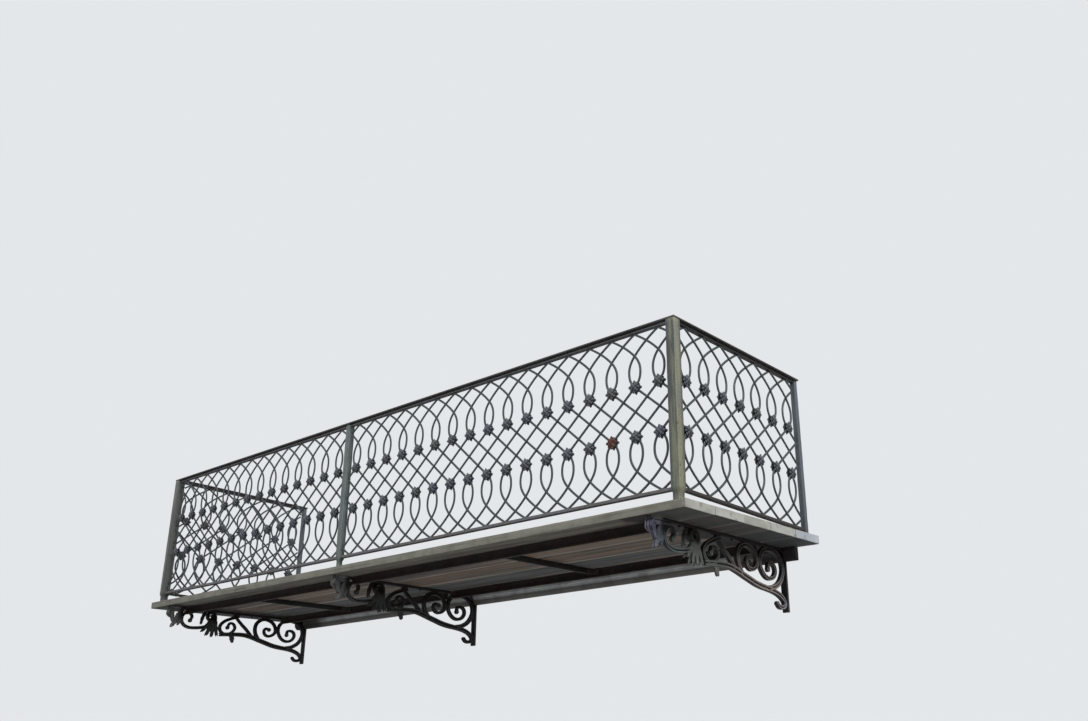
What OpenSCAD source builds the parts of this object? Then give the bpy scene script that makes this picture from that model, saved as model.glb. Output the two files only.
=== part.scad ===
// A wrought iron balcony on three cast scroll brackets. Sizes are millimetres.
// X runs along the wall, -Y is away from the wall, +Z is up, and the wall's face is Y = 0.
// The origin is the centre of the middle bracket's back plate, on the face that meets the wall.

/* [Lattice panels] */
// Spacing of the pattern along the front, from rosette to rosette
pitch = 127; // [115:1:140]
// Spacing of the pattern along the two sides
side_pitch = 137; // [120:1:145]
// Rosettes in one row of the front panel to the right of the middle post
right_units = 17; // [8:1:20]
// Rosettes in one row of the front panel to the left of the middle post
left_units = 14; // [8:1:20]
// Rosettes in one row of a side panel
side_units = 7; // [5:1:8]
// From the centre of a post to the first rosette
end_gap = 79; // [70:1:90]
// Height of a panel, from the bottom rail to the upper rail
panel_h = 714; // [660:2:760]
// Height between the two rows of rosettes
row_gap = 222; // [200:2:240]
// Height of the pointed oval that stands on each rosette
oval_h = 146; // [130:2:160]
// Width of a lattice bar, seen from the front
bar_w = 10; // [8:0.5:12]
// Depth of a lattice bar
bar_t = 7; // [5:0.5:10]
// How deep the bars that lean one way are let into the bars that lean the other way
lap = 3; // [1:0.5:4]

/* [Rosettes] */
// Width of a rosette across its outer leaves
rosette_d = 62; // [50:1:70]
// How far a rosette stands off the bars
rosette_h = 14; // [10:1:18]

/* [Rails and posts] */
// Height of the middle of the panels above the origin
rail_mid_z = 578; // [550:1:610]
// Side of the square posts at the two front corners
corner_post_w = 46; // [32:1:50]
// Side of the square post in the middle of the front
middle_post_w = 34; // [26:1:40]
// Side of the square posts against the wall
wall_post_w = 25; // [20:1:32]
// How much narrower the foot under a post is than the post
foot_step = 10; // [6:1:14]
// How far a post reaches below the bottom rail
post_drop = 6; // [0:1:15]
// Width of the handrail
handrail_w = 46; // [34:1:56]
// Thickness of the handrail
handrail_t = 11; // [8:1:14]
// Width of the thin rails above and below the panels
rail_w = 22; // [16:1:26]
// Thickness of the upper rail
upper_rail_t = 8; // [6:1:10]
// Gap between the upper rail and the handrail
rail_gap = 5; // [3:1:10]
// Thickness of the bottom rail
bottom_rail_t = 14; // [8:1:18]

/* [Deck] */
// Number of planks, counted out from the wall
plank_count = 5; // [4:1:6]
// Width of a plank
plank_w = 208; // [180:1:220]
// Thickness of a plank
plank_t = 38; // [32:1:50]
// Joint between two planks
plank_gap = 1; // [0.5:0.5:4]
// How far the deck reaches past the centres of the end posts
deck_overhang = 62; // [50:1:90]
// From the front edge of the deck to the centres of the front posts
front_setback = 46; // [40:1:80]
// Fall of the deck away from the wall, in degrees, so that rain runs off
fall = 1.4; // [0:0.1:2]

/* [Brackets] */
// Height of a bracket's back plate
plate_h = 290; // [280:2:310]
// Width of the back plate and of the top flange
plate_w = 32; // [26:1:40]
// Thickness of the back plate and of the top flange
plate_t = 13; // [10:1:16]
// Thickness of the lower curve, the thickest of a bracket's bars
web_t = 22; // [18:1:26]
// Width of the lower curve at its widest
curve_w = 27; // [22:1:34]
// Width of a scroll's bar where it starts
scroll_w = 24; // [20:1:28]
// Width of the round eye in which a scroll ends
eye_d = 25; // [21:1:30]
// From the front edge of the deck back to the tip of a bracket
front_gap = 22; // [4:2:60]
// From the centre of an end post to the outer bracket beside it
bracket_inset = 130; // [100:5:200]

/* [Beams] */
// Height of the iron beams under the planks
beam_h = 45; // [35:1:60]
// Thickness of the iron beams and of the cross bars between them
beam_t = 12; // [8:1:16]
// Height of the cross bars
cross_bar_h = 28; // [20:1:40]
// From the middle bracket to the cross bar on its right
right_cross_x = 1076; // [900:2:1200]
// From the middle bracket to the cross bar on its left
left_cross_x = 949; // [800:1:1050]
// From the wall to the rear beam
rear_beam_y = 210; // [180:5:260]
// From the wall to the front beam
front_beam_y = 914; // [860:2:930]
// Height of the ledger on the wall
ledger_h = 60; // [45:1:70]
// Depth of the ledger, out from the wall
ledger_t = 40; // [30:1:50]
// How far the ledger runs past the outer brackets
end_stub = 64; // [30:1:90]

/* [Hidden] */
deck_depth = plank_count * plank_w + (plank_count - 1) * plank_gap;
rail_y = front_setback - deck_depth;
right_x = (right_units - 1) * pitch + 2 * end_gap;
left_x = -(left_units - 1) * pitch - 2 * end_gap;
wall_post_y = -wall_post_w / 2;
left_span = [corner_post_w / 2, -left_x - middle_post_w / 2];
right_span = [middle_post_w / 2, right_x - corner_post_w / 2];
side_span = [corner_post_w / 2, -rail_y - wall_post_w];
right_bracket_x = right_x - bracket_inset;
left_bracket_x = left_x + bracket_inset;
deck_z = plate_h / 2;
half_plate = plate_w / 2;
ring_t = web_t - 2;
stem_t = web_t - 4;
panel_top = rail_mid_z + panel_h / 2;
panel_bottom = rail_mid_z - panel_h / 2;
post_top = panel_top + upper_rail_t + rail_gap;
post_bottom = panel_bottom - bottom_rail_t - post_drop;
side_h = panel_h / 2;
row_z = row_gap / 2;
oval_top = row_z + oval_h;
oval_mid = row_z + oval_h / 2;
iron = "#2f3338";
cast_iron = "#232427";
timber = "#a09c92";
painted_timber = "#8b8a80";

// A point on a cubic curve from height z0 to z1, with the position and slope at each end.
function curve_at(z0, z1, x0, x1, s0, s1, t) =
    let (h = z0 - z1)
    x0 * (1 + 2 * t) * pow(1 - t, 2) + x1 * t * t * (3 - 2 * t)
    + h * (s0 * t * pow(1 - t, 2) - s1 * t * t * (1 - t));

// The heights, places and slopes that a lattice bar goes through, from top to bottom.
function bar_keys(p) =
    let (mid_slope = -2 * p / row_gap)
    [
        [side_h, 0, 1.7], [oval_top, p, 0.9], [oval_mid, 1.25 * p, 0], [row_z, p, mid_slope],
        [-row_z, -p, mid_slope], [-oval_mid, -1.25 * p, 0], [-oval_top, -p, 0.9], [-side_h, 0, 1.7]
    ];

// The centre line of one lattice bar, as [x, z] points.
function bar_line(p) =
    let (k = bar_keys(p))
    [
        for (i = [0 : len(k) - 2])
            let (steps = (i == 3) ? 1 : 3)
            for (j = [0 : steps - (i == len(k) - 2 ? 0 : 1)])
                let (t = j / steps)
                [
                    curve_at(k[i][0], k[i + 1][0], k[i][1], k[i + 1][1], k[i][2], k[i + 1][2], t),
                    k[i][0] + (k[i + 1][0] - k[i][0]) * t
                ]
    ];

// The direction square to a line of points at point i.
function normal_at(line, i) =
    let (
        a = line[max(i - 1, 0)],
        b = line[min(i + 1, len(line) - 1)],
        d = b - a
    )
    [-d[1], d[0]] / norm(d);

// The outline of a strip along a line. Its widths are pairs of a share of the line and a width.
function strip(line, widths) =
    let (
        last = len(line) - 1,
        half = [for (i = [0 : last]) lookup(i / last, widths) / 2]
    )
    concat(
        [for (i = [0 : last]) line[i] + normal_at(line, i) * half[i]],
        [for (i = [last : -1 : 0]) line[i] - normal_at(line, i) * half[i]]
    );

// The points of a round end at point c, from the side that n points to round to the other side.
function round_end(c, n, w) =
    [for (a = [30 : 30 : 150]) c + (n * cos(a) + [n[1], -n[0]] * sin(a)) * w / 2];

// The outline of a strip with both ends rounded.
function stroke(line, widths) =
    let (
        last = len(line) - 1,
        sides = strip(line, widths)
    )
    concat(
        [for (i = [0 : last]) sides[i]],
        round_end(line[last], normal_at(line, last), lookup(1, widths)),
        [for (i = [last + 1 : 2 * last + 1]) sides[i]],
        round_end(line[0], -normal_at(line, 0), lookup(0, widths))
    );

// Points on a smooth curve through the points p, with so many steps from each to the next.
function smooth(p, steps) =
    let (last = len(p) - 1)
    [
        for (i = [0 : last - 1], j = [0 : steps - (i == last - 1 ? 0 : 1)])
            let (
                t = j / steps,
                a = (p[i + 1] - p[max(i - 1, 0)]) / 2,
                b = (p[min(i + 2, last)] - p[i]) / 2
            )
            p[i] * (2 * t * t * t - 3 * t * t + 1) + a * (t * t * t - 2 * t * t + t)
            + p[i + 1] * (3 * t * t - 2 * t * t * t) + b * (t * t * t - t * t)
    ];

// The bars of one panel that lean one way, drawn in X and Y from the centre of its first post.
// The span is where the panel's clear opening begins and ends.
module lattice_bars(units, p, span, lean) {
    bar = [for (q = strip(bar_line(p), [[0, bar_w], [1, bar_w]])) [q[0] * lean, q[1]]];
    intersection() {
        translate([span[0], -side_h])
            square([span[1] - span[0], panel_h]);
        for (i = [-1 : units])
            translate([end_gap + i * p, 0])
                polygon(bar);
    }
}

// A panel stands on edge, with its first post at the left end seen from outside.
module lattice_panel(units, p, span) {
    translate([0, 0, rail_mid_z])
        rotate([90, 0, 0]) {
            translate([0, 0, -lap / 2])
                linear_extrude(height = bar_t)
                    lattice_bars(units, p, span, 1);
            translate([0, 0, lap / 2 - bar_t])
                linear_extrude(height = bar_t)
                    lattice_bars(units, p, span, -1);
        }
}

// A star's outline: its points' radii in turn, with a valley between each two.
function star(tips, valley) =
    let (
        count = 8,
        step = 360 / count
    )
    [
        for (i = [0 : count - 1], part = [0, 1])
            let (
                r = part == 0 ? tips[i % len(tips)] : valley,
                a = (i + part / 2) * step
            )
            r * [cos(a), sin(a)]
    ];

// One cast rosette with its back on Z = 0: four long leaves and four short ones, then four
// petals, then a boss.
module rosette() {
    long_r = rosette_d / 2;
    short_r = long_r * 0.84;
    valley_r = long_r * 0.7;
    petal_r = long_r * 0.62;
    fold_r = long_r * 0.34;
    boss_r = long_r * 0.24;
    linear_extrude(height = rosette_h * 0.4)
        polygon(star([long_r, short_r], valley_r));
    linear_extrude(height = rosette_h * 0.7)
        rotate(45)
            polygon([for (i = [0 : 7]) (i % 2 == 0 ? petal_r : fold_r) * [cos(45 * i), sin(45 * i)]]);
    cylinder(h = rosette_h, r = boss_r, $fn = 24);
}

// A row of rosettes on both faces of a panel, above or below its middle.
module rosette_row(units, p, level) {
    for (i = [0 : units - 1], face = [0, 1])
        translate([end_gap + i * p, 0, rail_mid_z + level * row_z])
            rotate([face == 0 ? 90 : -90, 0, 0])
                translate([0, 0, bar_t - lap / 2])
                    rosette();
}

// The thin rails above and below a panel.
module panel_rails(span) {
    translate([span[0], -rail_w / 2, panel_top])
        cube([span[1] - span[0], rail_w, upper_rail_t]);
    translate([span[0], -rail_w / 2, panel_bottom - bottom_rail_t])
        cube([span[1] - span[0], rail_w, bottom_rail_t]);
}

// Places a panel's pieces along the front, from the left corner or from the middle post.
module at_left_front() {
    translate([left_x, rail_y, 0])
        children();
}

module at_right_front() {
    translate([0, rail_y, 0])
        children();
}

// Places a panel's pieces along a side, from the corner post to the wall.
module at_side(x) {
    translate([x, rail_y, 0])
        rotate([0, 0, 90])
            children();
}

// Everything on the deck's fall turns about the line where its underside meets the wall.
module on_fall() {
    translate([0, 0, deck_z])
        rotate([fall, 0, 0])
            children();
}

module deck_plank(n) {
    length = right_x - left_x + 2 * deck_overhang;
    color(timber)
        on_fall()
            translate([left_x - deck_overhang, -n * plank_w - (n - 1) * plank_gap, 0])
                cube([length, plank_w, plank_t]);
}

// A square post on a narrower foot that is cut to the fall of the deck.
module post(x, y, w) {
    foot_w = w - foot_step;
    color(iron) {
        translate([x - w / 2, y - w / 2, post_bottom])
            cube([w, w, post_top - post_bottom]);
        difference() {
            translate([x - foot_w / 2, y - foot_w / 2, deck_z])
                cube([foot_w, foot_w, post_bottom - deck_z]);
            on_fall()
                translate([x - w, y - w, -plank_t])
                    cube([2 * w, 2 * w, 2 * plank_t]);
        }
    }
}

// An iron beam under the planks, from x0 to x1, its centre y away from the wall.
module beam(x0, x1, y) {
    on_fall()
        translate([x0, -y - beam_t / 2, -beam_h])
            cube([x1 - x0, beam_t, beam_h]);
}

// A bar under the planks from the front beam to the rear beam.
module cross_bar(x) {
    color(iron)
        on_fall()
            translate([x - beam_t / 2, -front_beam_y + beam_t / 2, -cross_bar_h])
                cube([beam_t, front_beam_y - rear_beam_y - beam_t, cross_bar_h]);
}

// A cast bar through the points p, t thick.
module cast_bar(p, widths, t) {
    linear_extrude(height = t, center = true)
        polygon(stroke(smooth(p, 3), widths));
}

// A scroll: a cast bar that tapers from w to an eye.
module scroll(p, w, t) {
    cast_bar(p, [[0, w], [1, w * 0.65]], t);
    translate(p[len(p) - 1])
        cylinder(h = t + 2, d = eye_d, center = true, $fn = 24);
}

// A cast leaf from its root to its tip, bent to one side, and t thick.
module leaf(root, tip, width, bend, t) {
    d = tip - root;
    n = [-d[1], d[0]] / norm(d);
    middle = root + d * 0.5 + n * bend;
    side = n * width / 2;
    up = smooth([root - side * 0.5, middle - side, tip], 4);
    down = smooth([tip, middle + side, root + side * 0.5], 4);
    linear_extrude(height = t, center = true)
        polygon(concat(up, [for (i = [1 : len(down) - 1]) down[i]]));
}

// The scrolls of a bracket: X is minus the distance from the wall, and Y is the height above the
// underside of the deck.
module bracket_scrolls() {
    // the long lower curve, from the leaf cluster down to the foot of the plate and round its hook
    cast_bar(
        [
            [-656, -144], [-606, -140], [-550, -136], [-500, -134], [-456, -137], [-412, -146],
            [-361, -160], [-315, -172], [-265, -185], [-215, -193], [-165, -198], [-118, -204],
            [-76, -214], [-44, -230], [-26, -253], [-46, -270], [-76, -269], [-93, -254]
        ],
        [[0, curve_w * 0.85], [0.3, curve_w], [0.6, curve_w], [0.8, curve_w * 0.85], [1, curve_w * 0.6]],
        web_t);
    // the scroll next to the wall
    scroll(
        [
            [-151, -194], [-107, -185], [-64, -163], [-36, -131], [-24, -97], [-31, -63],
            [-57, -34], [-97, -19], [-142, -17], [-186, -28], [-212, -52], [-220, -81],
            [-213, -109], [-194, -134], [-166, -149], [-134, -150], [-105, -137], [-90, -114],
            [-96, -91], [-119, -80], [-145, -85], [-150, -110]
        ],
        scroll_w, ring_t);
    // the scroll that faces it
    scroll(
        [
            [-365, -158], [-389, -127], [-399, -92], [-392, -58], [-366, -33], [-327, -22],
            [-286, -30], [-256, -50], [-242, -77], [-244, -101], [-264, -119], [-294, -128],
            [-320, -119], [-329, -97], [-316, -80], [-291, -86]
        ],
        scroll_w, ring_t - 1);
    // the stem from the flange down to the lower curve
    cast_bar(
        [[-558, -13], [-535, -40], [-500, -71], [-462, -101], [-425, -137]],
        [[0, 16], [1, 20]],
        stem_t);
    // the middle scroll
    scroll(
        [
            [-525, -19], [-575, -36], [-625, -57], [-656, -85], [-658, -114], [-635, -135],
            [-599, -137], [-566, -121], [-550, -96], [-562, -73], [-589, -68], [-604, -97]
        ],
        scroll_w * 0.85, ring_t);
    // the front scroll and the curve that carries it
    scroll(
        [
            [-741, -97], [-786, -110], [-834, -117], [-882, -117], [-916, -103], [-932, -78],
            [-928, -50], [-907, -30], [-879, -30], [-863, -50], [-874, -75]
        ],
        scroll_w * 0.9, ring_t);
}

// The cast leaves of a bracket, in the same plane.
module bracket_leaves() {
    leaf_t = web_t + 6;
    curl_d = 56;
    // the leaves at the front: one along the flange, a hanging one, and a tongue before the scroll
    leaf([-925, -16], [-1012, -14], 30, 0, leaf_t - 1);
    leaf([-1000, -9], [-996, -90], 38, -2, leaf_t + 2);
    leaf([-938, -24], [-1004, -128], 52, 4, leaf_t);
    // the cluster between the front and middle scrolls, with a curled top
    leaf([-768, -10], [-797, -94], 28, -6, leaf_t - 2);
    leaf([-712, -40], [-785, -141], 34, 6, leaf_t);
    leaf([-708, -40], [-747, -161], 40, 3, leaf_t + 2);
    leaf([-702, -40], [-707, -164], 40, 0, leaf_t + 3);
    leaf([-696, -40], [-667, -154], 28, -3, leaf_t + 1);
    translate([-726, -38])
        cylinder(h = leaf_t + 4, d = curl_d, center = true, $fn = 24);
    // the drop under the middle scroll
    leaf([-571, -133], [-559, -190], 34, 0, leaf_t);
}

// The back plate on the wall and the flange under the deck, which make one angle.
module bracket_angle() {
    reach = deck_depth - front_gap;
    inner = plate_t * tan(fall) + plate_t / cos(fall);
    linear_extrude(height = plate_w, center = true)
        polygon([
            [0, 0],
            [-reach * cos(fall), -reach * sin(fall)],
            [-reach * cos(fall) + plate_t * sin(fall), -reach * sin(fall) - plate_t * cos(fall)],
            [-plate_t, -inner],
            [-plate_t, -plate_h],
            [0, -plate_h]
        ]);
}

// One cast bracket.
module bracket() {
    color(cast_iron)
        translate([0, 0, deck_z])
            rotate([90, 0, 90]) {
                bracket_angle();
                rotate(fall) {
                    bracket_scrolls();
                    bracket_leaves();
                }
            }
}

// The handrail lies on the posts.
module handrail_front() {
    color(iron)
        translate([left_x - handrail_w / 2, rail_y - handrail_w / 2, post_top])
            cube([right_x - left_x + handrail_w, handrail_w, handrail_t]);
}

module handrail_side(x) {
    color(iron)
        translate([x - handrail_w / 2, rail_y + handrail_w / 2, post_top])
            cube([handrail_w, -rail_y - handrail_w / 2, handrail_t]);
}

// A ledger on the wall between two brackets, with a short piece beyond the outer bracket.
module ledger(x0, x1) {
    color(painted_timber)
        difference() {
            translate([x0, -ledger_t, deck_z - ledger_h])
                cube([x1 - x0, ledger_t, ledger_h]);
            on_fall()
                translate([x0 - 1, -2 * ledger_t, 0])
                    cube([x1 - x0 + 2, 3 * ledger_t, plank_t]);
        }
}

module left_wall_ledger() {
    ledger(left_bracket_x + half_plate, -half_plate);
    ledger(left_bracket_x - half_plate - end_stub, left_bracket_x - half_plate);
}

module right_wall_ledger() {
    ledger(half_plate, right_bracket_x - half_plate);
    ledger(right_bracket_x + half_plate, right_bracket_x + half_plate + end_stub);
}

deck_plank(1);  // deck_plank_1
deck_plank(2);  // deck_plank_2
deck_plank(3);  // deck_plank_3
deck_plank(4);  // deck_plank_4
deck_plank(5);  // deck_plank_5
left_wall_ledger();
right_wall_ledger();
color(iron) beam(left_bracket_x + half_plate, -half_plate, front_beam_y);  // left_front_beam
color(iron) beam(half_plate, right_bracket_x - half_plate, front_beam_y);  // right_front_beam
color(iron) beam(left_bracket_x + half_plate, -half_plate, rear_beam_y);  // left_rear_beam
color(iron) beam(half_plate, right_bracket_x - half_plate, rear_beam_y);  // right_rear_beam
cross_bar(-left_cross_x);  // left_cross_bar
cross_bar(right_cross_x);  // right_cross_bar
translate([left_bracket_x, 0, 0]) bracket();  // left_bracket
bracket();  // middle_bracket
translate([right_bracket_x, 0, 0]) bracket();  // right_bracket
post(left_x, rail_y, corner_post_w);  // left_corner_post
post(0, rail_y, middle_post_w);  // middle_post
post(right_x, rail_y, corner_post_w);  // right_corner_post
post(left_x, wall_post_y, wall_post_w);  // left_wall_post
post(right_x, wall_post_y, wall_post_w);  // right_wall_post
handrail_front();  // front_handrail
handrail_side(left_x);  // left_side_handrail
handrail_side(right_x);  // right_side_handrail
color(iron) at_left_front() panel_rails(left_span);  // left_front_rails
color(iron) at_right_front() panel_rails(right_span);  // right_front_rails
color(iron) at_side(left_x) panel_rails(side_span);  // left_side_rails
color(iron) at_side(right_x) panel_rails(side_span);  // right_side_rails
color(iron) at_left_front() lattice_panel(left_units, pitch, left_span);  // left_front_lattice
color(iron) at_right_front() lattice_panel(right_units, pitch, right_span);  // right_front_lattice
color(iron) at_side(left_x) lattice_panel(side_units, side_pitch, side_span);  // left_side_lattice
color(iron) at_side(right_x) lattice_panel(side_units, side_pitch, side_span);  // right_side_lattice
color(cast_iron) at_left_front() rosette_row(left_units, pitch, 1);  // left_front_upper_rosettes
color(cast_iron) at_left_front() rosette_row(left_units, pitch, -1);  // left_front_lower_rosettes
color(cast_iron) at_right_front() rosette_row(right_units, pitch, 1);  // right_front_upper_rosettes
color(cast_iron) at_right_front() rosette_row(right_units, pitch, -1);  // right_front_lower_rosettes
color(cast_iron) at_side(left_x) rosette_row(side_units, side_pitch, 1);  // left_side_upper_rosettes
color(cast_iron) at_side(left_x) rosette_row(side_units, side_pitch, -1);  // left_side_lower_rosettes
color(cast_iron) at_side(right_x) rosette_row(side_units, side_pitch, 1);  // right_side_upper_rosettes
color(cast_iron) at_side(right_x) rosette_row(side_units, side_pitch, -1);  // right_side_lower_rosettes
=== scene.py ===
from collections import namedtuple
import math

import bmesh
import bpy
import numpy as np
from mathutils import Matrix, Vector, noise


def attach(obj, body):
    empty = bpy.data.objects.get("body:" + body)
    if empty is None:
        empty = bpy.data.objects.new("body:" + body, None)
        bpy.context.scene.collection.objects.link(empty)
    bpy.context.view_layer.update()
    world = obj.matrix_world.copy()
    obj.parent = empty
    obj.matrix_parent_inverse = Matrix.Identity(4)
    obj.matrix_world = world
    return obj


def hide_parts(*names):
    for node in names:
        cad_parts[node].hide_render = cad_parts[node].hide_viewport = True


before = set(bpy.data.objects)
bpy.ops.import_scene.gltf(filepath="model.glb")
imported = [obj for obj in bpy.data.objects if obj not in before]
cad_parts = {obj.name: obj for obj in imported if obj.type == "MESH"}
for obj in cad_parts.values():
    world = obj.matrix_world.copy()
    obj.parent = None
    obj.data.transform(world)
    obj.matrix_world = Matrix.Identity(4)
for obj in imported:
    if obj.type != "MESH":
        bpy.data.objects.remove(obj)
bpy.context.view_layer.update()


# Wall brackets. Three grey-iron sand castings, each a back plate and a flange in one angle, with
# reeded scrolls and acanthus leaves between them, screwed to the wall and painted black.

BRACKET_X = {"left_bracket": -1.679, "middle_bracket": 0.0, "right_bracket": 2.060}
DECK_UNDERSIDE = 0.145
FALL = math.radians(1.4)
PLATE_WIDTH = 0.032
PLATE_THICKNESS = 0.013
PLATE_HEIGHT = 0.290
FLANGE_REACH = 1.022

SCALE_BROWN = "#2c1a14"
# dirt and painted shade in the hollows of a casting or bar
HOLLOW_DIRT_AND_SHADE = "#120e0d"
# painted shade: the colour of the bracket iron where the deck shades it
PAINTED_DECK_SHADE = "#1a120f"
# out from the wall, where the painted shade under the deck begins to fade from a bracket's nose, and where it
# is gone
NOSE_SHADE_FADES, NOSE_SHADE_GONE = -0.935, -0.975


def colour(code):
    """A paint colour given as an sRGB hex value, as the linear value that shaders work in."""
    parts = [int(code[i:i + 2], 16) / 255 for i in (1, 3, 5)]
    return tuple(c / 12.92 if c <= 0.04045 else ((c + 0.055) / 1.055) ** 2.4 for c in parts) + (1.0,)


def add_node(tree, kind, inputs=None, **settings):
    """Adds one node, sets its options, and fills or links its inputs."""
    made = tree.nodes.new(kind)
    for option, value in settings.items():
        setattr(made, option, value)
    for name, value in (inputs or {}).items():
        if isinstance(value, bpy.types.NodeSocket):
            tree.links.new(value, made.inputs[name])
        else:
            made.inputs[name].default_value = value
    return made


def new_material(name, patterns=(), shift=(0, 0, 0)):
    """A material, its shader, and its noise patterns, asked for as (sizes in mm, detail, roughness)."""
    made = bpy.data.materials.new(name)
    made.use_nodes = True
    tree = made.node_tree
    tree.nodes.clear()
    shader = add_node(tree, "ShaderNodeBsdfPrincipled")
    add_node(tree, "ShaderNodeOutputMaterial", {"Surface": shader.outputs["BSDF"]})
    place = add_node(tree, "ShaderNodeTexCoord").outputs["Object"]
    shifted = add_node(tree, "ShaderNodeVectorMath", {0: place, 1: shift}, operation="ADD").outputs[0]
    noises = []
    for sizes_mm, detail, roughness in patterns:
        scaled = add_node(tree, "ShaderNodeVectorMath", {
            0: shifted, 1: tuple(1000 / mm for mm in sizes_mm)}, operation="MULTIPLY").outputs[0]
        noises.append(add_node(tree, "ShaderNodeTexNoise", {
            "Vector": scaled, "Scale": 1.0, "Detail": detail, "Roughness": roughness}).outputs["Fac"])
    return made, tree, shader, place, noises


def fill_shader(tree, shader, surface, rough, shine, reliefs):
    """Gives a shader its colour, roughness and shine, and its reliefs as (height, strength, depth)."""
    tree.links.new(surface, shader.inputs["Base Color"])
    tree.links.new(rough, shader.inputs["Roughness"])
    shader.inputs["Specular IOR Level"].default_value = shine
    finer = {}
    for height, strength, depth in reliefs:
        bump = add_node(tree, "ShaderNodeBump", {
            "Height": height, "Strength": strength, "Distance": depth, **finer})
        finer = {"Normal": bump.outputs["Normal"]}
    tree.links.new(bump.outputs["Normal"], shader.inputs["Normal"])


def painted_iron(name, coat, thin, chalk_and_lit_tints, rust, weather_and_light_side, chalk_and_light_share, rusty, grain_mm, relief,
                 tone_mm=(90, 90, 90), along=None, deck_shade_heights=None, rubbed_and_highlight=0.45, shine=0.45):
    """Old oil paint over iron: coats worn to two tones, chalk and painted light on the faces turned to the
    weather and the light, rust where they fail.
    """
    # changes of tone, the grit under the paint, flakes of rust 21 mm across, and drifts of chalk 160 mm
    made, tree, shader, place, (tone, grain, flakes, drift) = new_material(name, (
        (tone_mm, 4.0, 0.6), ([grain_mm] * 3, 5.0, 0.65), ([21] * 3, 6.0, 0.72), ([160] * 3, 2.0, 0.5)))
    shape = add_node(tree, "ShaderNodeNewGeometry")
    bend = shape.outputs["Pointiness"]
    turned_to_weather_and_light = add_node(tree, "ShaderNodeVectorMath", {
        0: shape.outputs["Normal"], 1: weather_and_light_side}, operation="DOT_PRODUCT").outputs["Value"]
    # what each kind of wear and painted light follows, where it begins and is full, and the least and most of
    # it
    wear = []
    for follows, begins, full, least, most in (
            (tone, 0.40, 0.60, 0, 1),                 # the last coat is still whole
            (turned_to_weather_and_light, 0.2, 0.95, 0, chalk_and_light_share),           # the face is turned to the weather and the light: chalk, and painted light
            (grain, 0.34, 0.60, 0.35, 1),             # the grit holds dust
            (bend, 0.53, 0.62, 0, rubbed_and_highlight),            # the coats are rubbed thin along the edges, with a painted highlight there
            (bend, 0.49, 0.44, 0, 0.9),               # dirt and painted shade in the hollows of the shape
            (flakes, 1 - rusty, 1.06 - rusty, 0, 1)):  # the paint has come off in flakes
        wear.append(add_node(tree, "ShaderNodeMapRange", {
            "Value": follows, "From Min": begins, "From Max": full, "To Min": least, "To Max": most},
            interpolation_type="SMOOTHSTEP").outputs[0])
    whole, weathered_and_lit, held, edge, hollow_dirt_and_shade, failed = wear
    dust_and_light = add_node(tree, "ShaderNodeMath", {0: weathered_and_lit, 1: held}, operation="MULTIPLY").outputs[0]
    if along:
        # the chalk and painted light change from one tint to the next along the piece
        far = add_node(tree, "ShaderNodeVectorMath", {
            0: place, 1: along}, operation="DOT_PRODUCT").outputs["Value"]
        drift = add_node(tree, "ShaderNodeMath", {
            0: drift, 1: 0.12, 2: far}, operation="MULTIPLY_ADD").outputs[0]
    tints = add_node(tree, "ShaderNodeValToRGB", {"Fac": drift})
    tints.color_ramp.elements.remove(tints.color_ramp.elements[1])
    for k, (at, tint) in enumerate(chalk_and_lit_tints):
        stop = tints.color_ramp.elements.new(at) if k else tints.color_ramp.elements[0]
        stop.position, stop.color = at, colour(tint)
    chalk_and_lit_tint = tints.outputs["Color"]
    layers = [(whole, colour(coat))]
    if deck_shade_heights:
        # painted shade: close under the deck the iron is painted dark where the deck shades it, and its chalk
        # and worn edges are faded out there, but not on the nose, which stands clear of the deck
        spot = add_node(tree, "ShaderNodeSeparateXYZ", {"Vector": place})
        lit_below, shaded_above = deck_shade_heights
        clear_of_shade = []
        for follows, begins, full, least in (
                (spot.outputs["Z"], shaded_above, lit_below, 0.1),
                (spot.outputs["Y"], NOSE_SHADE_FADES, NOSE_SHADE_GONE, 0)):
            clear_of_shade.append(add_node(tree, "ShaderNodeMapRange", {
                "Value": follows, "From Min": begins, "From Max": full, "To Min": least},
                interpolation_type="SMOOTHSTEP").outputs[0])
        clear_of_deck_shade = add_node(tree, "ShaderNodeMath", {
            0: clear_of_shade[0], 1: clear_of_shade[1]}, operation="MAXIMUM").outputs[0]
        in_deck_shade = add_node(tree, "ShaderNodeMath", {0: 1.0, 1: clear_of_deck_shade}, operation="SUBTRACT").outputs[0]
        layers.append((in_deck_shade, colour(PAINTED_DECK_SHADE)))
        dust_and_light = add_node(tree, "ShaderNodeMath", {0: dust_and_light, 1: clear_of_deck_shade}, operation="MULTIPLY").outputs[0]
        edge = add_node(tree, "ShaderNodeMath", {0: edge, 1: clear_of_deck_shade}, operation="MULTIPLY").outputs[0]
    scale = add_node(tree, "ShaderNodeMix", {
        0: grain, 6: colour(SCALE_BROWN), 7: colour(rust)}, data_type="RGBA").outputs[2]
    layers += [(dust_and_light, chalk_and_lit_tint), (edge, chalk_and_lit_tint), (hollow_dirt_and_shade, colour(HOLLOW_DIRT_AND_SHADE)), (failed, scale)]
    surface = colour(thin)
    for share, layer in layers:
        surface = add_node(tree, "ShaderNodeMix", {
            0: share, 6: surface, 7: layer}, data_type="RGBA").outputs[2]
    gloss = add_node(tree, "ShaderNodeMapRange", {
        "Value": grain, "From Min": 0.3, "From Max": 0.7, "To Min": 0.42, "To Max": 0.70}).outputs[0]
    rough = add_node(tree, "ShaderNodeMix", {0: failed, 2: gloss, 3: 0.9}, data_type="FLOAT").outputs[0]
    fill_shader(tree, shader, surface, rough, shine, ((grain, 0.35, relief), (failed, 0.5, -0.0004)))
    return made


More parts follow.
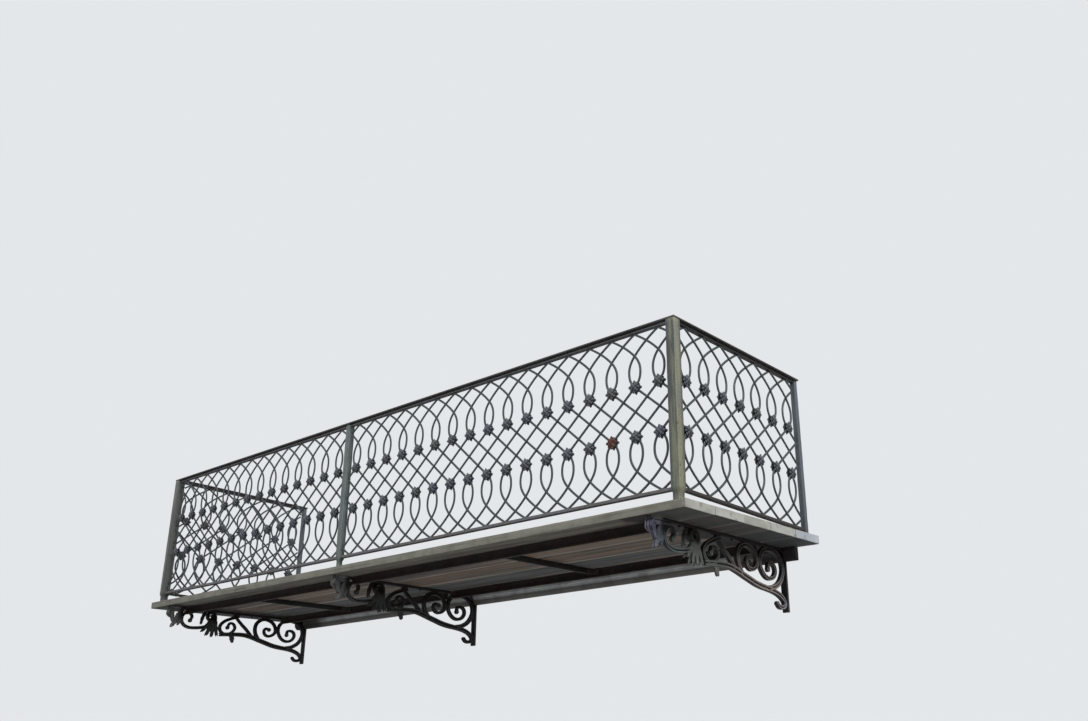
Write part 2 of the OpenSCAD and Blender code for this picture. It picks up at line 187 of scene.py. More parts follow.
# Grey cast iron under black paint: a sandy skin, painted nearly black in the shade of the deck. This is the
# shaded copy of the bracket paint, on the brackets that lie in shade and on every bracket's angle and bolts.
shaded_cast_iron_paint = painted_iron(
    "cast_iron_shaded_black_paint", "#1d1a19", "#131110", ((0.2, "#53504f"), (0.8, "#474a45"), (0.97, "#7d7b78")),
    "#4a3026", weather_and_light_side=(0.85, -0.25, 0.45), chalk_and_light_share=0.8, rusty=0.36, grain_mm=4, relief=0.0006,
    along=(0.0, -0.94, 0.0), deck_shade_heights=(0.02, 0.08), rubbed_and_highlight=0.3, shine=0.1)

# The same paint as a lit copy, on the bracket at the open corner where the light falls: painted lighter,
# lilac and green-grey, partly chalk from the weather and partly painted light.
lit_chalked_iron_paint = painted_iron(
    "cast_iron_lit_chalked_black_paint", "#211b19", "#150f0e",
    ((0.06, "#757b84"), (0.16, "#8f817a"), (0.44, "#92837c"), (0.56, "#6b6e66"), (0.78, "#7b8075"),
     (0.94, "#7b8589"), (1.00, "#747081")), "#6b4a3c",
    weather_and_light_side=(0.92, -0.20, 0.30), chalk_and_light_share=1.0, rusty=0.36, grain_mm=4, relief=0.0006,
    along=(0.0, -0.94, 0.0), deck_shade_heights=(0.03, 0.08), shine=0.25)


def piece(name, tubes, material, replaced=(), crease=32, bevel=0.0):
    """A mesh of closed tubes, each a list of rings of points, that rides with the balcony."""
    points, faces = [], []
    for rings in tubes:
        start, sides = len(points), len(rings[0])
        points += [tuple(p) for ring in rings for p in ring]
        last = len(points) - sides
        for a in range(start, last):
            b = a + 1 if (a + 1 - start) % sides else a + 1 - sides
            faces.append((a, b, b + sides, a + sides))
        faces += [tuple(range(start, start + sides))[::-1], tuple(range(last, last + sides))]
    mesh = bpy.data.meshes.new(name)
    mesh.from_pydata(points, [], faces)
    shape = bmesh.new()
    shape.from_mesh(mesh)
    bmesh.ops.recalc_face_normals(shape, faces=shape.faces)
    if bevel:
        edges = [e for e in shape.edges if e.is_manifold and e.calc_face_angle() > math.radians(crease)]
        bmesh.ops.bevel(shape, geom=edges, offset=bevel, segments=2, profile=0.5,
                        affect="EDGES", clamp_overlap=True)
    shape.to_mesh(mesh)
    shape.free()
    mesh.shade_smooth()
    mesh.set_sharp_from_angle(angle=math.radians(crease))
    mesh.materials.append(material)
    made = bpy.data.objects.new(name, mesh)
    bpy.context.scene.collection.objects.link(made)
    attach(made, "root")
    if replaced:
        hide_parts(*replaced)
    return made


def smooth_line(points, steps):
    """Points along a smooth curve through the given points."""
    p = np.array(points, float)
    last = len(p) - 1
    out = []
    for i in range(last):
        a = (p[i + 1] - p[max(i - 1, 0)]) / 2
        b = (p[min(i + 2, last)] - p[i]) / 2
        for t in np.arange(steps) / steps:
            out.append(p[i] * (2 * t**3 - 3 * t**2 + 1) + a * (t**3 - 2 * t**2 + t)
                       + p[i + 1] * (3 * t**2 - 2 * t**3) + b * (t**3 - t**2))
    out.append(p[last])
    return np.array(out)


def normals_of(line):
    """The direction in the plane, square to a flat line, at each of its points."""
    d = np.gradient(line, axis=0)
    d /= np.linalg.norm(d, axis=1)[:, None]
    return np.stack([-d[:, 1], d[:, 0]], 1)


def on_bracket(x0, a, b, c):
    """From a bracket's own plane to the balcony: a is 0 at the wall and negative out, b up, c across."""
    return (x0 + c, a * math.cos(FALL) - b * math.sin(FALL),
            DECK_UNDERSIDE + a * math.sin(FALL) + b * math.cos(FALL))


# Half of a reeded bar's section, across the bar and out to one cheek: a bead along each edge, and
# a groove between the beads.
REEDED = [(1.0, 0.25), (0.99, 0.70), (0.90, 0.94), (0.66, 1.0), (0.42, 0.96), (0.24, 0.76), (0.08, 0.36)]
REEDED_SECTION = (REEDED + [(-u, v) for u, v in reversed(REEDED)]
                  + [(-u, -v) for u, v in REEDED] + [(u, -v) for u, v in reversed(REEDED)])
# how far along its rounded tip a bar's last rings stand, in half widths
TIP_RINGS = (0.45, 0.8, 0.96)


def reeded_bar(x0, line_mm, widths, depth, tip=False):
    """A cast scroll bar; widths are (share of its length, width) pairs."""
    line = smooth_line(np.array(line_mm) / 1000, 7)
    n = normals_of(line)
    along = np.concatenate([[0], np.cumsum(np.linalg.norm(np.diff(line, axis=0), axis=1))])
    w = np.interp(along / along[-1], [s for s, _ in widths], [v for _, v in widths])
    rings = []
    for p, m, width in zip(line, n, w):
        rings.append([on_bracket(x0, *(p + m * u * width / 2), v * depth / 2) for u, v in REEDED_SECTION])
    if tip:
        way = (line[-1] - line[-2]) / np.linalg.norm(line[-1] - line[-2])
        for q in TIP_RINGS:
            r = math.sqrt(1 - q * q)
            rings.append([on_bracket(x0, *(line[-1] + way * q * w[-1] / 2 + n[-1] * u * r * w[-1] / 2),
                                     v * (0.4 + 0.6 * r) * depth / 2) for u, v in REEDED_SECTION])
    return rings


# An eye from its middle out to its rim, as shares of its radius and of its half depth.
EYE_PROFILE = [(0.10, 1.0), (0.45, 0.97), (0.62, 0.80), (0.72, 0.86), (0.92, 0.74), (1.0, 0.45)]
EYE_WIDTH = 0.025


def scroll_eye(x0, centre_mm, depth):
    """The round button in which a scroll ends, domed on both cheeks."""
    a, b = centre_mm[0] / 1000, centre_mm[1] / 1000
    rings = []
    for share, h in EYE_PROFILE + [(share, -h) for share, h in reversed(EYE_PROFILE)]:
        r = share * EYE_WIDTH / 2
        rings.append([on_bracket(x0, a + r * math.cos(q), b + r * math.sin(q), h * depth / 2)
                      for q in np.radians(np.arange(0, 360, 15))])
    return rings


LEAF_DEPTH = 0.020
LEAF_POINTS = 9
THINNEST_LEAF = 0.0009
THINNEST_RIM = 0.0012


def cast_leaf(x0, root, tip, width, bend, splay):
    """An acanthus lobe: a thick leaf with a midrib, side veins and a scalloped edge."""
    root, tip = np.array(root, float) / 1000, np.array(tip, float) / 1000
    d = tip - root
    n = np.array([-d[1], d[0]]) / np.linalg.norm(d)
    middle = root + d * 0.5 + n * bend / 1000
    spine = smooth_line([root, middle, tip], 10)
    across = normals_of(spine)
    rings = []
    for i, (p, m) in enumerate(zip(spine, across)):
        s = i / (len(spine) - 1)
        outline = math.sin(math.pi * (0.20 + 0.80 * s) ** 0.95) ** 0.7
        scallop = 1 + 0.12 * math.cos(2 * math.pi * 3.5 * s)
        w = max(THINNEST_LEAF, width / 2000 * outline * scallop) if s < 1 else THINNEST_LEAF
        thick = LEAF_DEPTH / 2 * (0.35 + 0.65 * math.sin(math.pi * min(1, 0.2 + 0.8 * s)) ** 0.6)
        ring = []
        for side in (1, -1):
            for j in range(LEAF_POINTS):
                u = (1 - 2 * j / (LEAF_POINTS - 1)) * side
                rib = 1 - abs(u) ** 1.6
                vein = 0.20 * math.cos(2 * math.pi * (1.9 * abs(u) + 2.5 * s))
                c = side * max(THINNEST_RIM, thick * (0.28 + 0.72 * rib) * (1 + vein))
                q = p + m * u * w
                ring.append(on_bracket(x0, q[0], q[1], c * 0.62 + splay * s ** 1.5))
        rings.append(ring)
    return rings


NOSE_LEAF_THICKNESS = 0.005
NOSE_LEAF_POINTS = 11


def nose_leaf(x0, line_mm, widths_mm):
    """The leaf that closes the nose: it faces out, is wide across, and curls over at its tip."""
    line = smooth_line(np.array(line_mm) / 1000, 6)
    n = normals_of(line)
    along = np.linspace(0, 1, len(line))
    w = np.interp(along, np.linspace(0, 1, len(widths_mm)), widths_mm) / 1000
    rings = []
    for p, m, width, s in zip(line, n, w, along):
        ring = []
        for side in (1, -1):
            for j in range(NOSE_LEAF_POINTS):
                c = (1 - 2 * j / (NOSE_LEAF_POINTS - 1)) * side
                lobe = 0.0035 * math.cos(c * math.pi * 2.5) * (0.4 + 0.6 * s)
                back = 0.006 * c * c
                scallop = 1 + 0.10 * math.cos(2 * math.pi * 3 * s)
                q = p + m * (side * NOSE_LEAF_THICKNESS / 2 * (1 - 0.5 * abs(c)) + lobe - back)
                ring.append(on_bracket(x0, q[0], q[1], c * scallop * width / 2))
        rings.append(ring)
    return rings


def square_bolt(place, size, height):
    """A square bolt head with chamfered corners on a round washer; place maps (u, v, out)."""
    tubes = []
    for half, low, high, sides, turn in ((size * 0.95, 0.0, height * 0.25, 16, 0.0),
                                         (size * 0.68, height * 0.25, height * 0.8, 4, 45.0),
                                         (size * 0.56, height * 0.8, height, 4, 45.0)):
        corners = [math.radians(turn + 360 * k / sides) for k in range(sides)]
        tubes.append([[place(half * math.cos(q), half * math.sin(q), out) for q in corners]
                      for out in (low, high)])
    return tubes


# The curves' centre lines in millimetres: out from the wall and down from the deck are negative.
LOWER_CURVE = [
    (-656, -144), (-606, -140), (-550, -136), (-500, -134), (-456, -137), (-412, -146),
    (-361, -160), (-315, -172), (-265, -185), (-215, -193), (-165, -198), (-118, -204),
    (-76, -214), (-44, -230), (-26, -253), (-46, -270), (-76, -269), (-93, -254)]
LOWER_CURVE_WIDTHS = [(0, 0.023), (0.3, 0.027), (0.6, 0.027), (0.8, 0.023), (1, 0.016)]
LOWER_CURVE_DEPTH = 0.022
STEM = [(-558, -13), (-535, -40), (-500, -71), (-462, -101), (-425, -137)]
STEM_WIDTHS = [(0, 0.016), (1, 0.020)]
STEM_DEPTH = 0.018
WALL_SCROLL = [
    (-151, -194), (-107, -185), (-64, -163), (-36, -131), (-24, -97), (-31, -63),
    (-57, -34), (-97, -19), (-142, -17), (-186, -28), (-212, -52), (-220, -81),
    (-213, -109), (-194, -134), (-166, -149), (-134, -150), (-105, -137), (-90, -114),
    (-96, -91), (-119, -80), (-145, -85), (-150, -110)]
FACING_SCROLL = [
    (-365, -158), (-389, -127), (-399, -92), (-392, -58), (-366, -33), (-327, -22),
    (-286, -30), (-256, -50), (-242, -77), (-244, -101), (-264, -119), (-294, -128),
    (-320, -119), (-329, -97), (-316, -80), (-291, -86)]
MIDDLE_SCROLL = [
    (-525, -19), (-575, -36), (-625, -57), (-656, -85), (-658, -114), (-635, -135),
    (-599, -137), (-566, -121), (-550, -96), (-562, -73), (-589, -68), (-604, -97)]
FRONT_SCROLL = [
    (-741, -97), (-786, -110), (-834, -117), (-882, -117), (-916, -103), (-932, -78),
    (-928, -50), (-907, -30), (-879, -30), (-863, -50), (-874, -75)]
# each scroll's centre line, the width of its bar where it starts, and its depth
SCROLLS = (
    (WALL_SCROLL, 0.024, 0.020), (FACING_SCROLL, 0.024, 0.019),
    (MIDDLE_SCROLL, 0.0205, 0.020), (FRONT_SCROLL, 0.0215, 0.020))
SCROLL_TAPER = 0.65
EYE_STANDS_OUT = 0.002
# the top of the leaf cluster, rolled over like a fern
LEAF_CURL = [
    (-700, -66), (-700, -38), (-712, -18), (-733, -14), (-750, -26), (-753, -46),
    (-741, -60), (-724, -58), (-716, -44), (-723, -32), (-734, -36)]
LEAF_CURL_WIDTHS = [(0, 0.016), (1, 0.009)]
LEAF_CURL_DEPTH = 0.031
# root, tip, width, bend, how far the tip stands out to each side
LEAVES = [
    ((-925, -16), (-1012, -14), 30, 0, 5), ((-1002, -14), (-990, -92), 30, -4, 9),
    ((-944, -24), (-1002, -126), 34, 4, 8), ((-926, -30), (-958, -112), 26, 2, 4),
    ((-768, -10), (-797, -94), 22, -6, 8),
    ((-716, -40), (-790, -139), 26, 6, 11), ((-710, -46), (-756, -160), 27, 4, 12),
    ((-702, -50), (-716, -166), 28, 1, 9), ((-696, -46), (-676, -158), 24, -3, 10),
    ((-571, -133), (-559, -190), 34, 0, 5)]
# the nose leaf's middle line, out and down from the flange's end, and its widths along it
NOSE = [(-968, -7), (-1000, -10), (-1019, -22), (-1024, -42), (-1014, -57), (-1001, -61)]
NOSE_WIDTHS = (26, 36, 40, 36, 27, 11)

# the back plate and the flange as one outline, seen from the side
reach_out, reach_down = FLANGE_REACH * math.cos(FALL), FLANGE_REACH * math.sin(FALL)
inner_corner = PLATE_THICKNESS * math.tan(FALL) + PLATE_THICKNESS / math.cos(FALL)
ANGLE = [
    (0, 0), (-reach_out, -reach_down),
    (-reach_out + PLATE_THICKNESS * math.sin(FALL), -reach_down - PLATE_THICKNESS * math.cos(FALL)),
    (-PLATE_THICKNESS, -inner_corner), (-PLATE_THICKNESS, -PLATE_HEIGHT), (0, -PLATE_HEIGHT)]
LAG_SCREW_HEIGHTS = (0.06, -0.115)
LAG_SCREW_HEAD = (0.010, 0.007)
FLANGE_BOLT_PLACES = (-0.43, -0.82, -0.965)
FLANGE_BOLT_HEAD = (0.009, 0.006)

for name, x0 in BRACKET_X.items():
    # the bracket in the light gets the lit copy of the paint, the others the shaded copy
    iron = lit_chalked_iron_paint if name == "right_bracket" else shaded_cast_iron_paint
    scrolls = [reeded_bar(x0, LOWER_CURVE, LOWER_CURVE_WIDTHS, LOWER_CURVE_DEPTH, tip=True),
               reeded_bar(x0, STEM, STEM_WIDTHS, STEM_DEPTH)]
    for line, width, depth in SCROLLS:
        scrolls += [reeded_bar(x0, line, [(0, width), (1, width * SCROLL_TAPER)], depth),
                    scroll_eye(x0, line[-1], depth + EYE_STANDS_OUT)]
    piece(name + "_scrolls", scrolls, iron, crease=50)

    leaves = [reeded_bar(x0, LEAF_CURL, LEAF_CURL_WIDTHS, LEAF_CURL_DEPTH, tip=True)]
    leaves += [cast_leaf(x0, root, tip, width, bend, side * splay / 1000)
               for root, tip, width, bend, splay in LEAVES for side in (1, -1)]
    leaves.append(nose_leaf(x0, NOSE, NOSE_WIDTHS))
    piece(name + "_leaves", leaves, iron, crease=50)

    angle = [[(x0 + c, y, DECK_UNDERSIDE + z) for y, z in ANGLE] for c in (-PLATE_WIDTH / 2, PLATE_WIDTH / 2)]
    piece(name + "_angle", [angle], shaded_cast_iron_paint, replaced=(name,), bevel=0.0018)

    # square-headed lag screws through the plate, and the bolts that hold the flange to the beams
    bolts = []
    for z in LAG_SCREW_HEIGHTS:
        bolts += square_bolt(lambda u, v, out: (x0 + u, -PLATE_THICKNESS - out, z + v), *LAG_SCREW_HEAD)
    for a in FLANGE_BOLT_PLACES:
        bolts += square_bolt(
            lambda u, v, out: on_bracket(x0, a + u, -PLATE_THICKNESS - out, v), *FLANGE_BOLT_HEAD)
    piece(name + "_bolts", bolts, shaded_cast_iron_paint)


# Wall ledgers. A pine strip nailed to the wall under the deck, between the brackets, with a short
# length past each outer one. Its front edge is moulded, and its grey oil paint is dull and dirty.

LEDGER_DEPTH = 0.040
LEDGER_HEIGHT = 0.060
LEDGER_END = 0.064
BRACKETS_MIDDLE = (BRACKET_X["left_bracket"] + BRACKET_X["right_bracket"]) / 2
# soot and painted shade next to the outer brackets
CORNER_SOOT_AND_SHADE = "#17110e"


def painted_timber(name, paint, worn, bare, grime_and_shade, bare_share, grime_share, seed):
    """Softwood under old oil paint: raised grain about 6 mm apart, flaked to bare wood in places."""
    # grain along the wall, 300 mm long and 6 mm across; long patches of bare wood; round stains
    made, tree, shader, place, (grain, patches, stains) = new_material(name, (
        ((300, 6, 6), 4.0, 0.6), ((260, 60, 60), 6.0, 0.68), ((120, 120, 120), 5.0, 0.6)),
        (seed * 1.7, seed * 0.31, seed * 0.13))
    spot = add_node(tree, "ShaderNodeSeparateXYZ", {"Vector": place})
    reach = add_node(tree, "ShaderNodeMath", {
        0: spot.outputs["X"], 1: -BRACKETS_MIDDLE}, operation="ADD").outputs[0]
    reach = add_node(tree, "ShaderNodeMath", {0: reach}, operation="ABSOLUTE").outputs[0]
    # what each kind of wear and painted shade follows, where it begins and is full, the most of it, and its
    # colour
    surface = colour(paint)
    shares = []
    for follows, begins, full, most, tint in (
            (stains, 0.35, 0.65, 1, worn),                                   # the paint has worn thin
            (patches, 0.98 - bare_share, 1.04 - bare_share, 1, bare),        # it has flaked off
            (stains, 0.48, 0.72, grime_share, grime_and_shade),                        # it is stained
            (grain, 0.58, 0.70, 0.4, grime_and_shade),                                 # dirt fills the grain
            # painted shade: darker below the front face, on the chamfer
            (spot.outputs["Z"], DECK_UNDERSIDE - 0.030, DECK_UNDERSIDE - 0.041, 0.85, grime_and_shade),
            (reach, 1.58, 1.70, 0.85, CORNER_SOOT_AND_SHADE)):                         # soot and painted shade by the outer brackets
        shares.append(add_node(tree, "ShaderNodeMapRange", {
            "Value": follows, "From Min": begins, "From Max": full, "To Max": most},
            interpolation_type="SMOOTHSTEP").outputs[0])
        surface = add_node(tree, "ShaderNodeMix", {
            0: shares[-1], 6: surface, 7: colour(tint)}, data_type="RGBA").outputs[2]
    rough = add_node(tree, "ShaderNodeMapRange", {
        "Value": grain, "From Min": 0.3, "From Max": 0.7, "To Min": 0.72, "To Max": 0.92}).outputs[0]
    fill_shader(tree, shader, surface, rough, 0.3, ((grain, 0.5, 0.0012), (shares[1], 0.6, -0.0006)))
    return made


# Pine under flat green-grey oil paint, streaked with soot.
ledger_paint = painted_timber(
    "pine_grey_oil_paint", "#9fa19a", "#908e8e", "#746c5f", "#3d352c", 0.30, 0.4, 9)
# The short ends beyond the outer brackets lie in the shade of the deck and the brackets, and that shade is
# painted into their paint, nearly black.
shade_darkened_paint = painted_timber(
    "pine_painted_shade_oil_paint", "#231d1b", "#2a231f", "#35281b", "#120e0c", 0.36, 0.8, 4)

# where the lengths of ledger and beam in each bay start and end, against the sides of the brackets
HALF_PLATE = PLATE_WIDTH / 2
LEFT_BAY = (BRACKET_X["left_bracket"] + HALF_PLATE, -HALF_PLATE)
RIGHT_BAY = (HALF_PLATE, BRACKET_X["right_bracket"] - HALF_PLATE)
LEFT_END = (LEFT_BAY[0] - PLATE_WIDTH - LEDGER_END, LEFT_BAY[0] - PLATE_WIDTH)
RIGHT_END = (RIGHT_BAY[1] + PLATE_WIDTH, RIGHT_BAY[1] + PLATE_WIDTH + LEDGER_END)
# the ledger's section: a small step, a hollow and a long chamfer below its front edge
LEDGER_SECTION = [
    (0.0, 0.0), (-LEDGER_DEPTH, -LEDGER_DEPTH * math.tan(FALL)), (-LEDGER_DEPTH, -0.020),
    (-LEDGER_DEPTH + 0.004, -0.024), (-LEDGER_DEPTH + 0.006, -0.040), (-LEDGER_DEPTH + 0.014, -0.052),
    (-LEDGER_DEPTH + 0.026, -LEDGER_HEIGHT), (0.0, -LEDGER_HEIGHT)]

for name, bay, end in (("left_wall_ledger", LEFT_BAY, LEFT_END), ("right_wall_ledger", RIGHT_BAY, RIGHT_END)):
    for part, run, paint, replaced in (
            ("_moulding", bay, ledger_paint, (name,)), ("_end", end, shade_darkened_paint, ())):
        strip = [[(x, y, DECK_UNDERSIDE + z) for y, z in LEDGER_SECTION] for x in run]
        piece(name + part, [strip], paint, replaced=replaced, bevel=0.0015)


# Deck beams. Wrought iron bars on edge under the planks, front and rear in each bay, rolled with a
# lip along both edges, and a light cross bar between them. They are bolted to the brackets' flanges.

FRONT_BEAM_Y = -0.914
REAR_BEAM_Y = -0.210
BEAM_HEIGHT = 0.045
BEAM_THICKNESS = 0.012
# one cheek of a beam, at its upper and its lower edge: the share of half its thickness, and height
UPPER_LIP = [(0.8, -0.0005), (1.0, -0.002), (1.0, -0.007), (0.72, -0.011)]
LOWER_LIP = [(0.72, 0.009), (1.0, 0.005), (1.0, 0.0), (0.75, -0.0015)]
# the lower lip stands this far up, so that its dips stay within the beam's height
LIP_RISE = 0.003
BEAM_STEPS = 60
CROSS_BAR_X = {"left_cross_bar": -0.949, "right_cross_bar": 1.076}
CROSS_BAR_HEIGHT = 0.028
CLIP_THICKNESS = 0.005
CLIP_LENGTH = 0.045
CLIP_REACH = 0.050
CLIP_TOP, CLIP_BOTTOM, CLIP_MIDDLE = -0.002, -0.030, -0.016
CLIP_RIVET_PLACES = (0.020, 0.038)
CLIP_RIVET = (0.006, 0.004)

# Wrought iron under thin black paint that has rusted through: dark brown, with a dull red edge that is partly
# rust and partly a painted highlight on the arris.
beam_iron = painted_iron(
    "wrought_iron_rusty_black_paint", "#1b1715", "#100d0c", ((0.42, "#544b44"), (0.58, "#634c40")), "#4d332b",
    weather_and_light_side=(0.3, -0.8, 0.5), chalk_and_light_share=0.12, rusty=0.42, grain_mm=6, relief=0.0008, rubbed_and_highlight=0.9, shine=0.08)
# The cross bars hang in the dry middle of each bay, and soot has kept them black.
sooty_iron = painted_iron(
    "wrought_iron_soot_black_paint", "#0d0b0a", "#080606", ((0.42, "#4e4f48"), (0.58, "#453b35")), "#2a1c17",
    weather_and_light_side=(0.3, -0.8, 0.5), chalk_and_light_share=0.15, rusty=0.30, grain_mm=5, relief=0.0005, rubbed_and_highlight=0.5, shine=0.08)


def on_fall(p):
    """A point of the deck or of what hangs under it, turned with the deck's fall."""
    x, y, z = p
    return (x, y * math.cos(FALL) - z * math.sin(FALL),
            DECK_UNDERSIDE + y * math.sin(FALL) + z * math.cos(FALL))


def block_on_fall(low, high):
    """A box between two corners, turned with the deck's fall."""
    (x0, y0, z0), (x1, y1, z1) = low, high
    return [[on_fall((x, y, z)) for y, z in ((y0, z0), (y1, z0), (y1, z1), (y0, z1))] for x in (x0, x1)]


for name, (x_from, x_to), y in (
        ("left_front_beam", LEFT_BAY, FRONT_BEAM_Y), ("right_front_beam", RIGHT_BAY, FRONT_BEAM_Y),
        ("left_rear_beam", LEFT_BAY, REAR_BEAM_Y), ("right_rear_beam", RIGHT_BAY, REAR_BEAM_Y)):
    rings = []
    for x in np.linspace(x_from, x_to, BEAM_STEPS + 1):
        # a hand-rolled bar is never quite straight
        sway = 0.0011 * noise.noise(Vector((x * 2.3, y * 5, 0.4)))
        dip = 0.0009 * noise.noise(Vector((x * 3.1, y * 5, 7.4)))
        low = -BEAM_HEIGHT + LIP_RISE + dip
        cheek = UPPER_LIP + [(u, low + v) for u, v in LOWER_LIP]
        section = cheek + [(-u, v) for u, v in reversed(cheek)]
        rings.append([on_fall((x, y + sway + u * BEAM_THICKNESS / 2, v)) for u, v in section])
    piece(name + "_bar", [rings], beam_iron, replaced=(name,), crease=25)

for name, x in CROSS_BAR_X.items():
    front, rear = FRONT_BEAM_Y + BEAM_THICKNESS / 2, REAR_BEAM_Y - BEAM_THICKNESS / 2
    side = x + BEAM_THICKNESS / 2
    bar = block_on_fall((x - BEAM_THICKNESS / 2, front, -CROSS_BAR_HEIGHT), (side, rear, -0.0005))
    piece(name + "_bar", [bar], sooty_iron, replaced=(name,), bevel=0.0015)
    # the clips that turn its ends along the beams, each with two rivets
    clips = []
    for y, way in ((front, 1), (rear, -1)):
        corner = (side, y, CLIP_BOTTOM)
        clips += [block_on_fall(corner, (x + CLIP_REACH, y + way * CLIP_THICKNESS, CLIP_TOP)),
                  block_on_fall(corner, (side + CLIP_THICKNESS, y + way * CLIP_LENGTH, CLIP_TOP))]
        for k in CLIP_RIVET_PLACES:
            clips += square_bolt(lambda u, v, out: on_fall(
                (x + k + u, y + way * (CLIP_THICKNESS + out), CLIP_MIDDLE + v)), *CLIP_RIVET)
    piece(name + "_clips", clips, sooty_iron)


# Deck planks. Five 2 inch softwood planks laid along the wall and spiked down to the beams. They
# were painted, and the weather has taken most of it: grey on top and edges, brown underneath.

DECK_LEFT, DECK_RIGHT = -1.871, 2.252
PLANK_COUNT = 5
PLANK_WIDTH, PLANK_GAP, PLANK_THICKNESS = 0.208, 0.001, 0.038
PLANK_STEPS = 150
PLANK_CORNER, NOSE_CORNER = 0.002, 0.0035
END_EASING = 0.0015
# the ends stand this far inside the planks' full length
END_CLEARANCE = 0.0002
BARE_TAN, LICHEN, END_CHECKS = "#7d6149", "#8b9180", "#6f695e"
RUN_PAINT, JOINT_DIRT, JOINT_DUST, DAMP_SLATE = "#7b6f65", "#1d1916", "#3f3b35", "#292b2a"


def weathered_plank(name, top, edge, end, below, wall_side, seed):
    """Flat-sawn softwood: silver paint remains on the faces to the weather, bare brown below."""
    # growth rings show as lines about 8 mm apart and 400 mm long, in streaks 45 mm wide, under
    # blotches 90 mm across
    made, tree, shader, place, (grain, streaks, blotches) = new_material(name, (
        ((400, 8, 8), 5.0, 0.62), ((700, 45, 45), 4.0, 0.6), ((90, 90, 90), 6.0, 0.66)),
        (seed * 2.3, seed * 0.37, seed * 0.21))
    spot = add_node(tree, "ShaderNodeSeparateXYZ", {"Vector": place})
    patchy = add_node(tree, "ShaderNodeMapRange", {
        "Value": blotches, "From Min": 0.38, "From Max": 0.62}, interpolation_type="SMOOTHSTEP").outputs[0]
    # across the plank from its side to the wall, and from the middle of it
    across = add_node(tree, "ShaderNodeMapRange", {
        "Value": spot.outputs["Y"], "From Min": wall_side, "From Max": wall_side - PLANK_WIDTH}).outputs[0]
    run_down = add_node(tree, "ShaderNodeMath", {
        0: streaks, 1: 0.5, 2: across}, operation="MULTIPLY_ADD").outputs[0]
    off_middle = add_node(tree, "ShaderNodeMath", {0: across, 1: -0.5}, operation="ADD").outputs[0]
    off_middle = add_node(tree, "ShaderNodeMath", {0: off_middle}, operation="ABSOLUTE").outputs[0]
    # along the deck from the middle between the outer brackets, with a ragged edge
    reach = add_node(tree, "ShaderNodeMath", {
        0: spot.outputs["X"], 1: -BRACKETS_MIDDLE}, operation="ADD").outputs[0]
    reach = add_node(tree, "ShaderNodeMath", {0: reach}, operation="ABSOLUTE").outputs[0]
    ragged = add_node(tree, "ShaderNodeMath", {
        0: patchy, 1: 0.06, 2: reach}, operation="MULTIPLY_ADD").outputs[0]
    facing = add_node(tree, "ShaderNodeSeparateXYZ", {
        "Vector": add_node(tree, "ShaderNodeNewGeometry").outputs["Normal"]})
    endways = add_node(tree, "ShaderNodeMath", {0: facing.outputs["X"]}, operation="ABSOLUTE").outputs[0]
    upward = facing.outputs["Z"]
    # what each kind of wear and painted shade follows, where it begins and is full, and the most of it
    share = {}
    for kind, follows, begins, full, most in (
            ("lined", grain, 0.52, 0.68, 0.5),            # dirt in the lines of the grain
            ("streaked", streaks, 0.42, 0.64, 1),         # streaks of wet
            ("tanned", blotches, 0.60, 0.70, 0.6),        # paint gone to orange-brown wood
            ("mossy", blotches, 0.58, 0.70, 0.7),         # lichen on the sawn ends
            ("checked", streaks, 0.58, 0.66, 0.55),       # dark checks in them
            ("pale", run_down, 0.45, 0.32, 0.8),          # paint and dust run down through the joints
            ("joint", off_middle, 0.478, 0.492, 0.8),     # black dirt, 3 mm wide, at each joint
            ("damp", ragged, 1.86, 1.95, 0.72),           # rain drives in past the outer brackets
            ("sooted_and_shaded", ragged, 1.735, 1.80, 0.85),        # soot, and painted shade, on the dry side of them
            ("at_end", endways, 0.5, 0.9, 1), ("above", upward, 0.3, 0.8, 1),
            ("under", upward, -0.55, -0.85, 1)):
        share[kind] = add_node(tree, "ShaderNodeMapRange", {
            "Value": follows, "From Min": begins, "From Max": full, "To Max": most},
            interpolation_type="SMOOTHSTEP").outputs[0]
    inside = add_node(tree, "ShaderNodeMapRange", {
        "Value": reach, "From Min": 1.885, "From Max": 1.865}).outputs[0]
    share["sooted_and_shaded"] = add_node(tree, "ShaderNodeMath", {
        0: share["sooted_and_shaded"], 1: inside}, operation="MULTIPLY").outputs[0]
    # each face's colours, the lowest coat first: the front edge, the sawn ends, the top, the underside
    faces_of_plank = []
    for base, layers in (
            (edge[0], ((patchy, edge[1]), (share["lined"], edge[2]), (share["tanned"], BARE_TAN))),
            (end[0], ((patchy, end[1]), (share["mossy"], LICHEN), (share["checked"], END_CHECKS))),
            (top[0], ((patchy, top[1]), (share["streaked"], top[2]), (share["joint"], JOINT_DUST))),
            (below[0], ((share["streaked"], below[1]), (share["lined"], below[2]), (share["pale"], RUN_PAINT),
                        (share["joint"], JOINT_DIRT), (share["damp"], DAMP_SLATE),
                        (share["sooted_and_shaded"], CORNER_SOOT_AND_SHADE)))):
        surface = colour(base)
        for amount, tint in layers:
            surface = add_node(tree, "ShaderNodeMix", {
                0: amount, 6: surface, 7: colour(tint)}, data_type="RGBA").outputs[2]
        faces_of_plank.append(surface)
    surface = faces_of_plank[0]
    for kind, face in zip(("at_end", "above", "under"), faces_of_plank[1:]):
        surface = add_node(tree, "ShaderNodeMix", {
            0: share[kind], 6: surface, 7: face}, data_type="RGBA").outputs[2]
    rough = add_node(tree, "ShaderNodeMapRange", {
        "Value": grain, "From Min": 0.3, "From Max": 0.7, "To Min": 0.7, "To Max": 0.95}).outputs[0]
    fill_shader(tree, shader, surface, rough, 0.25, ((grain, 0.6, 0.0016), (blotches, 0.25, 0.002)))
    return made


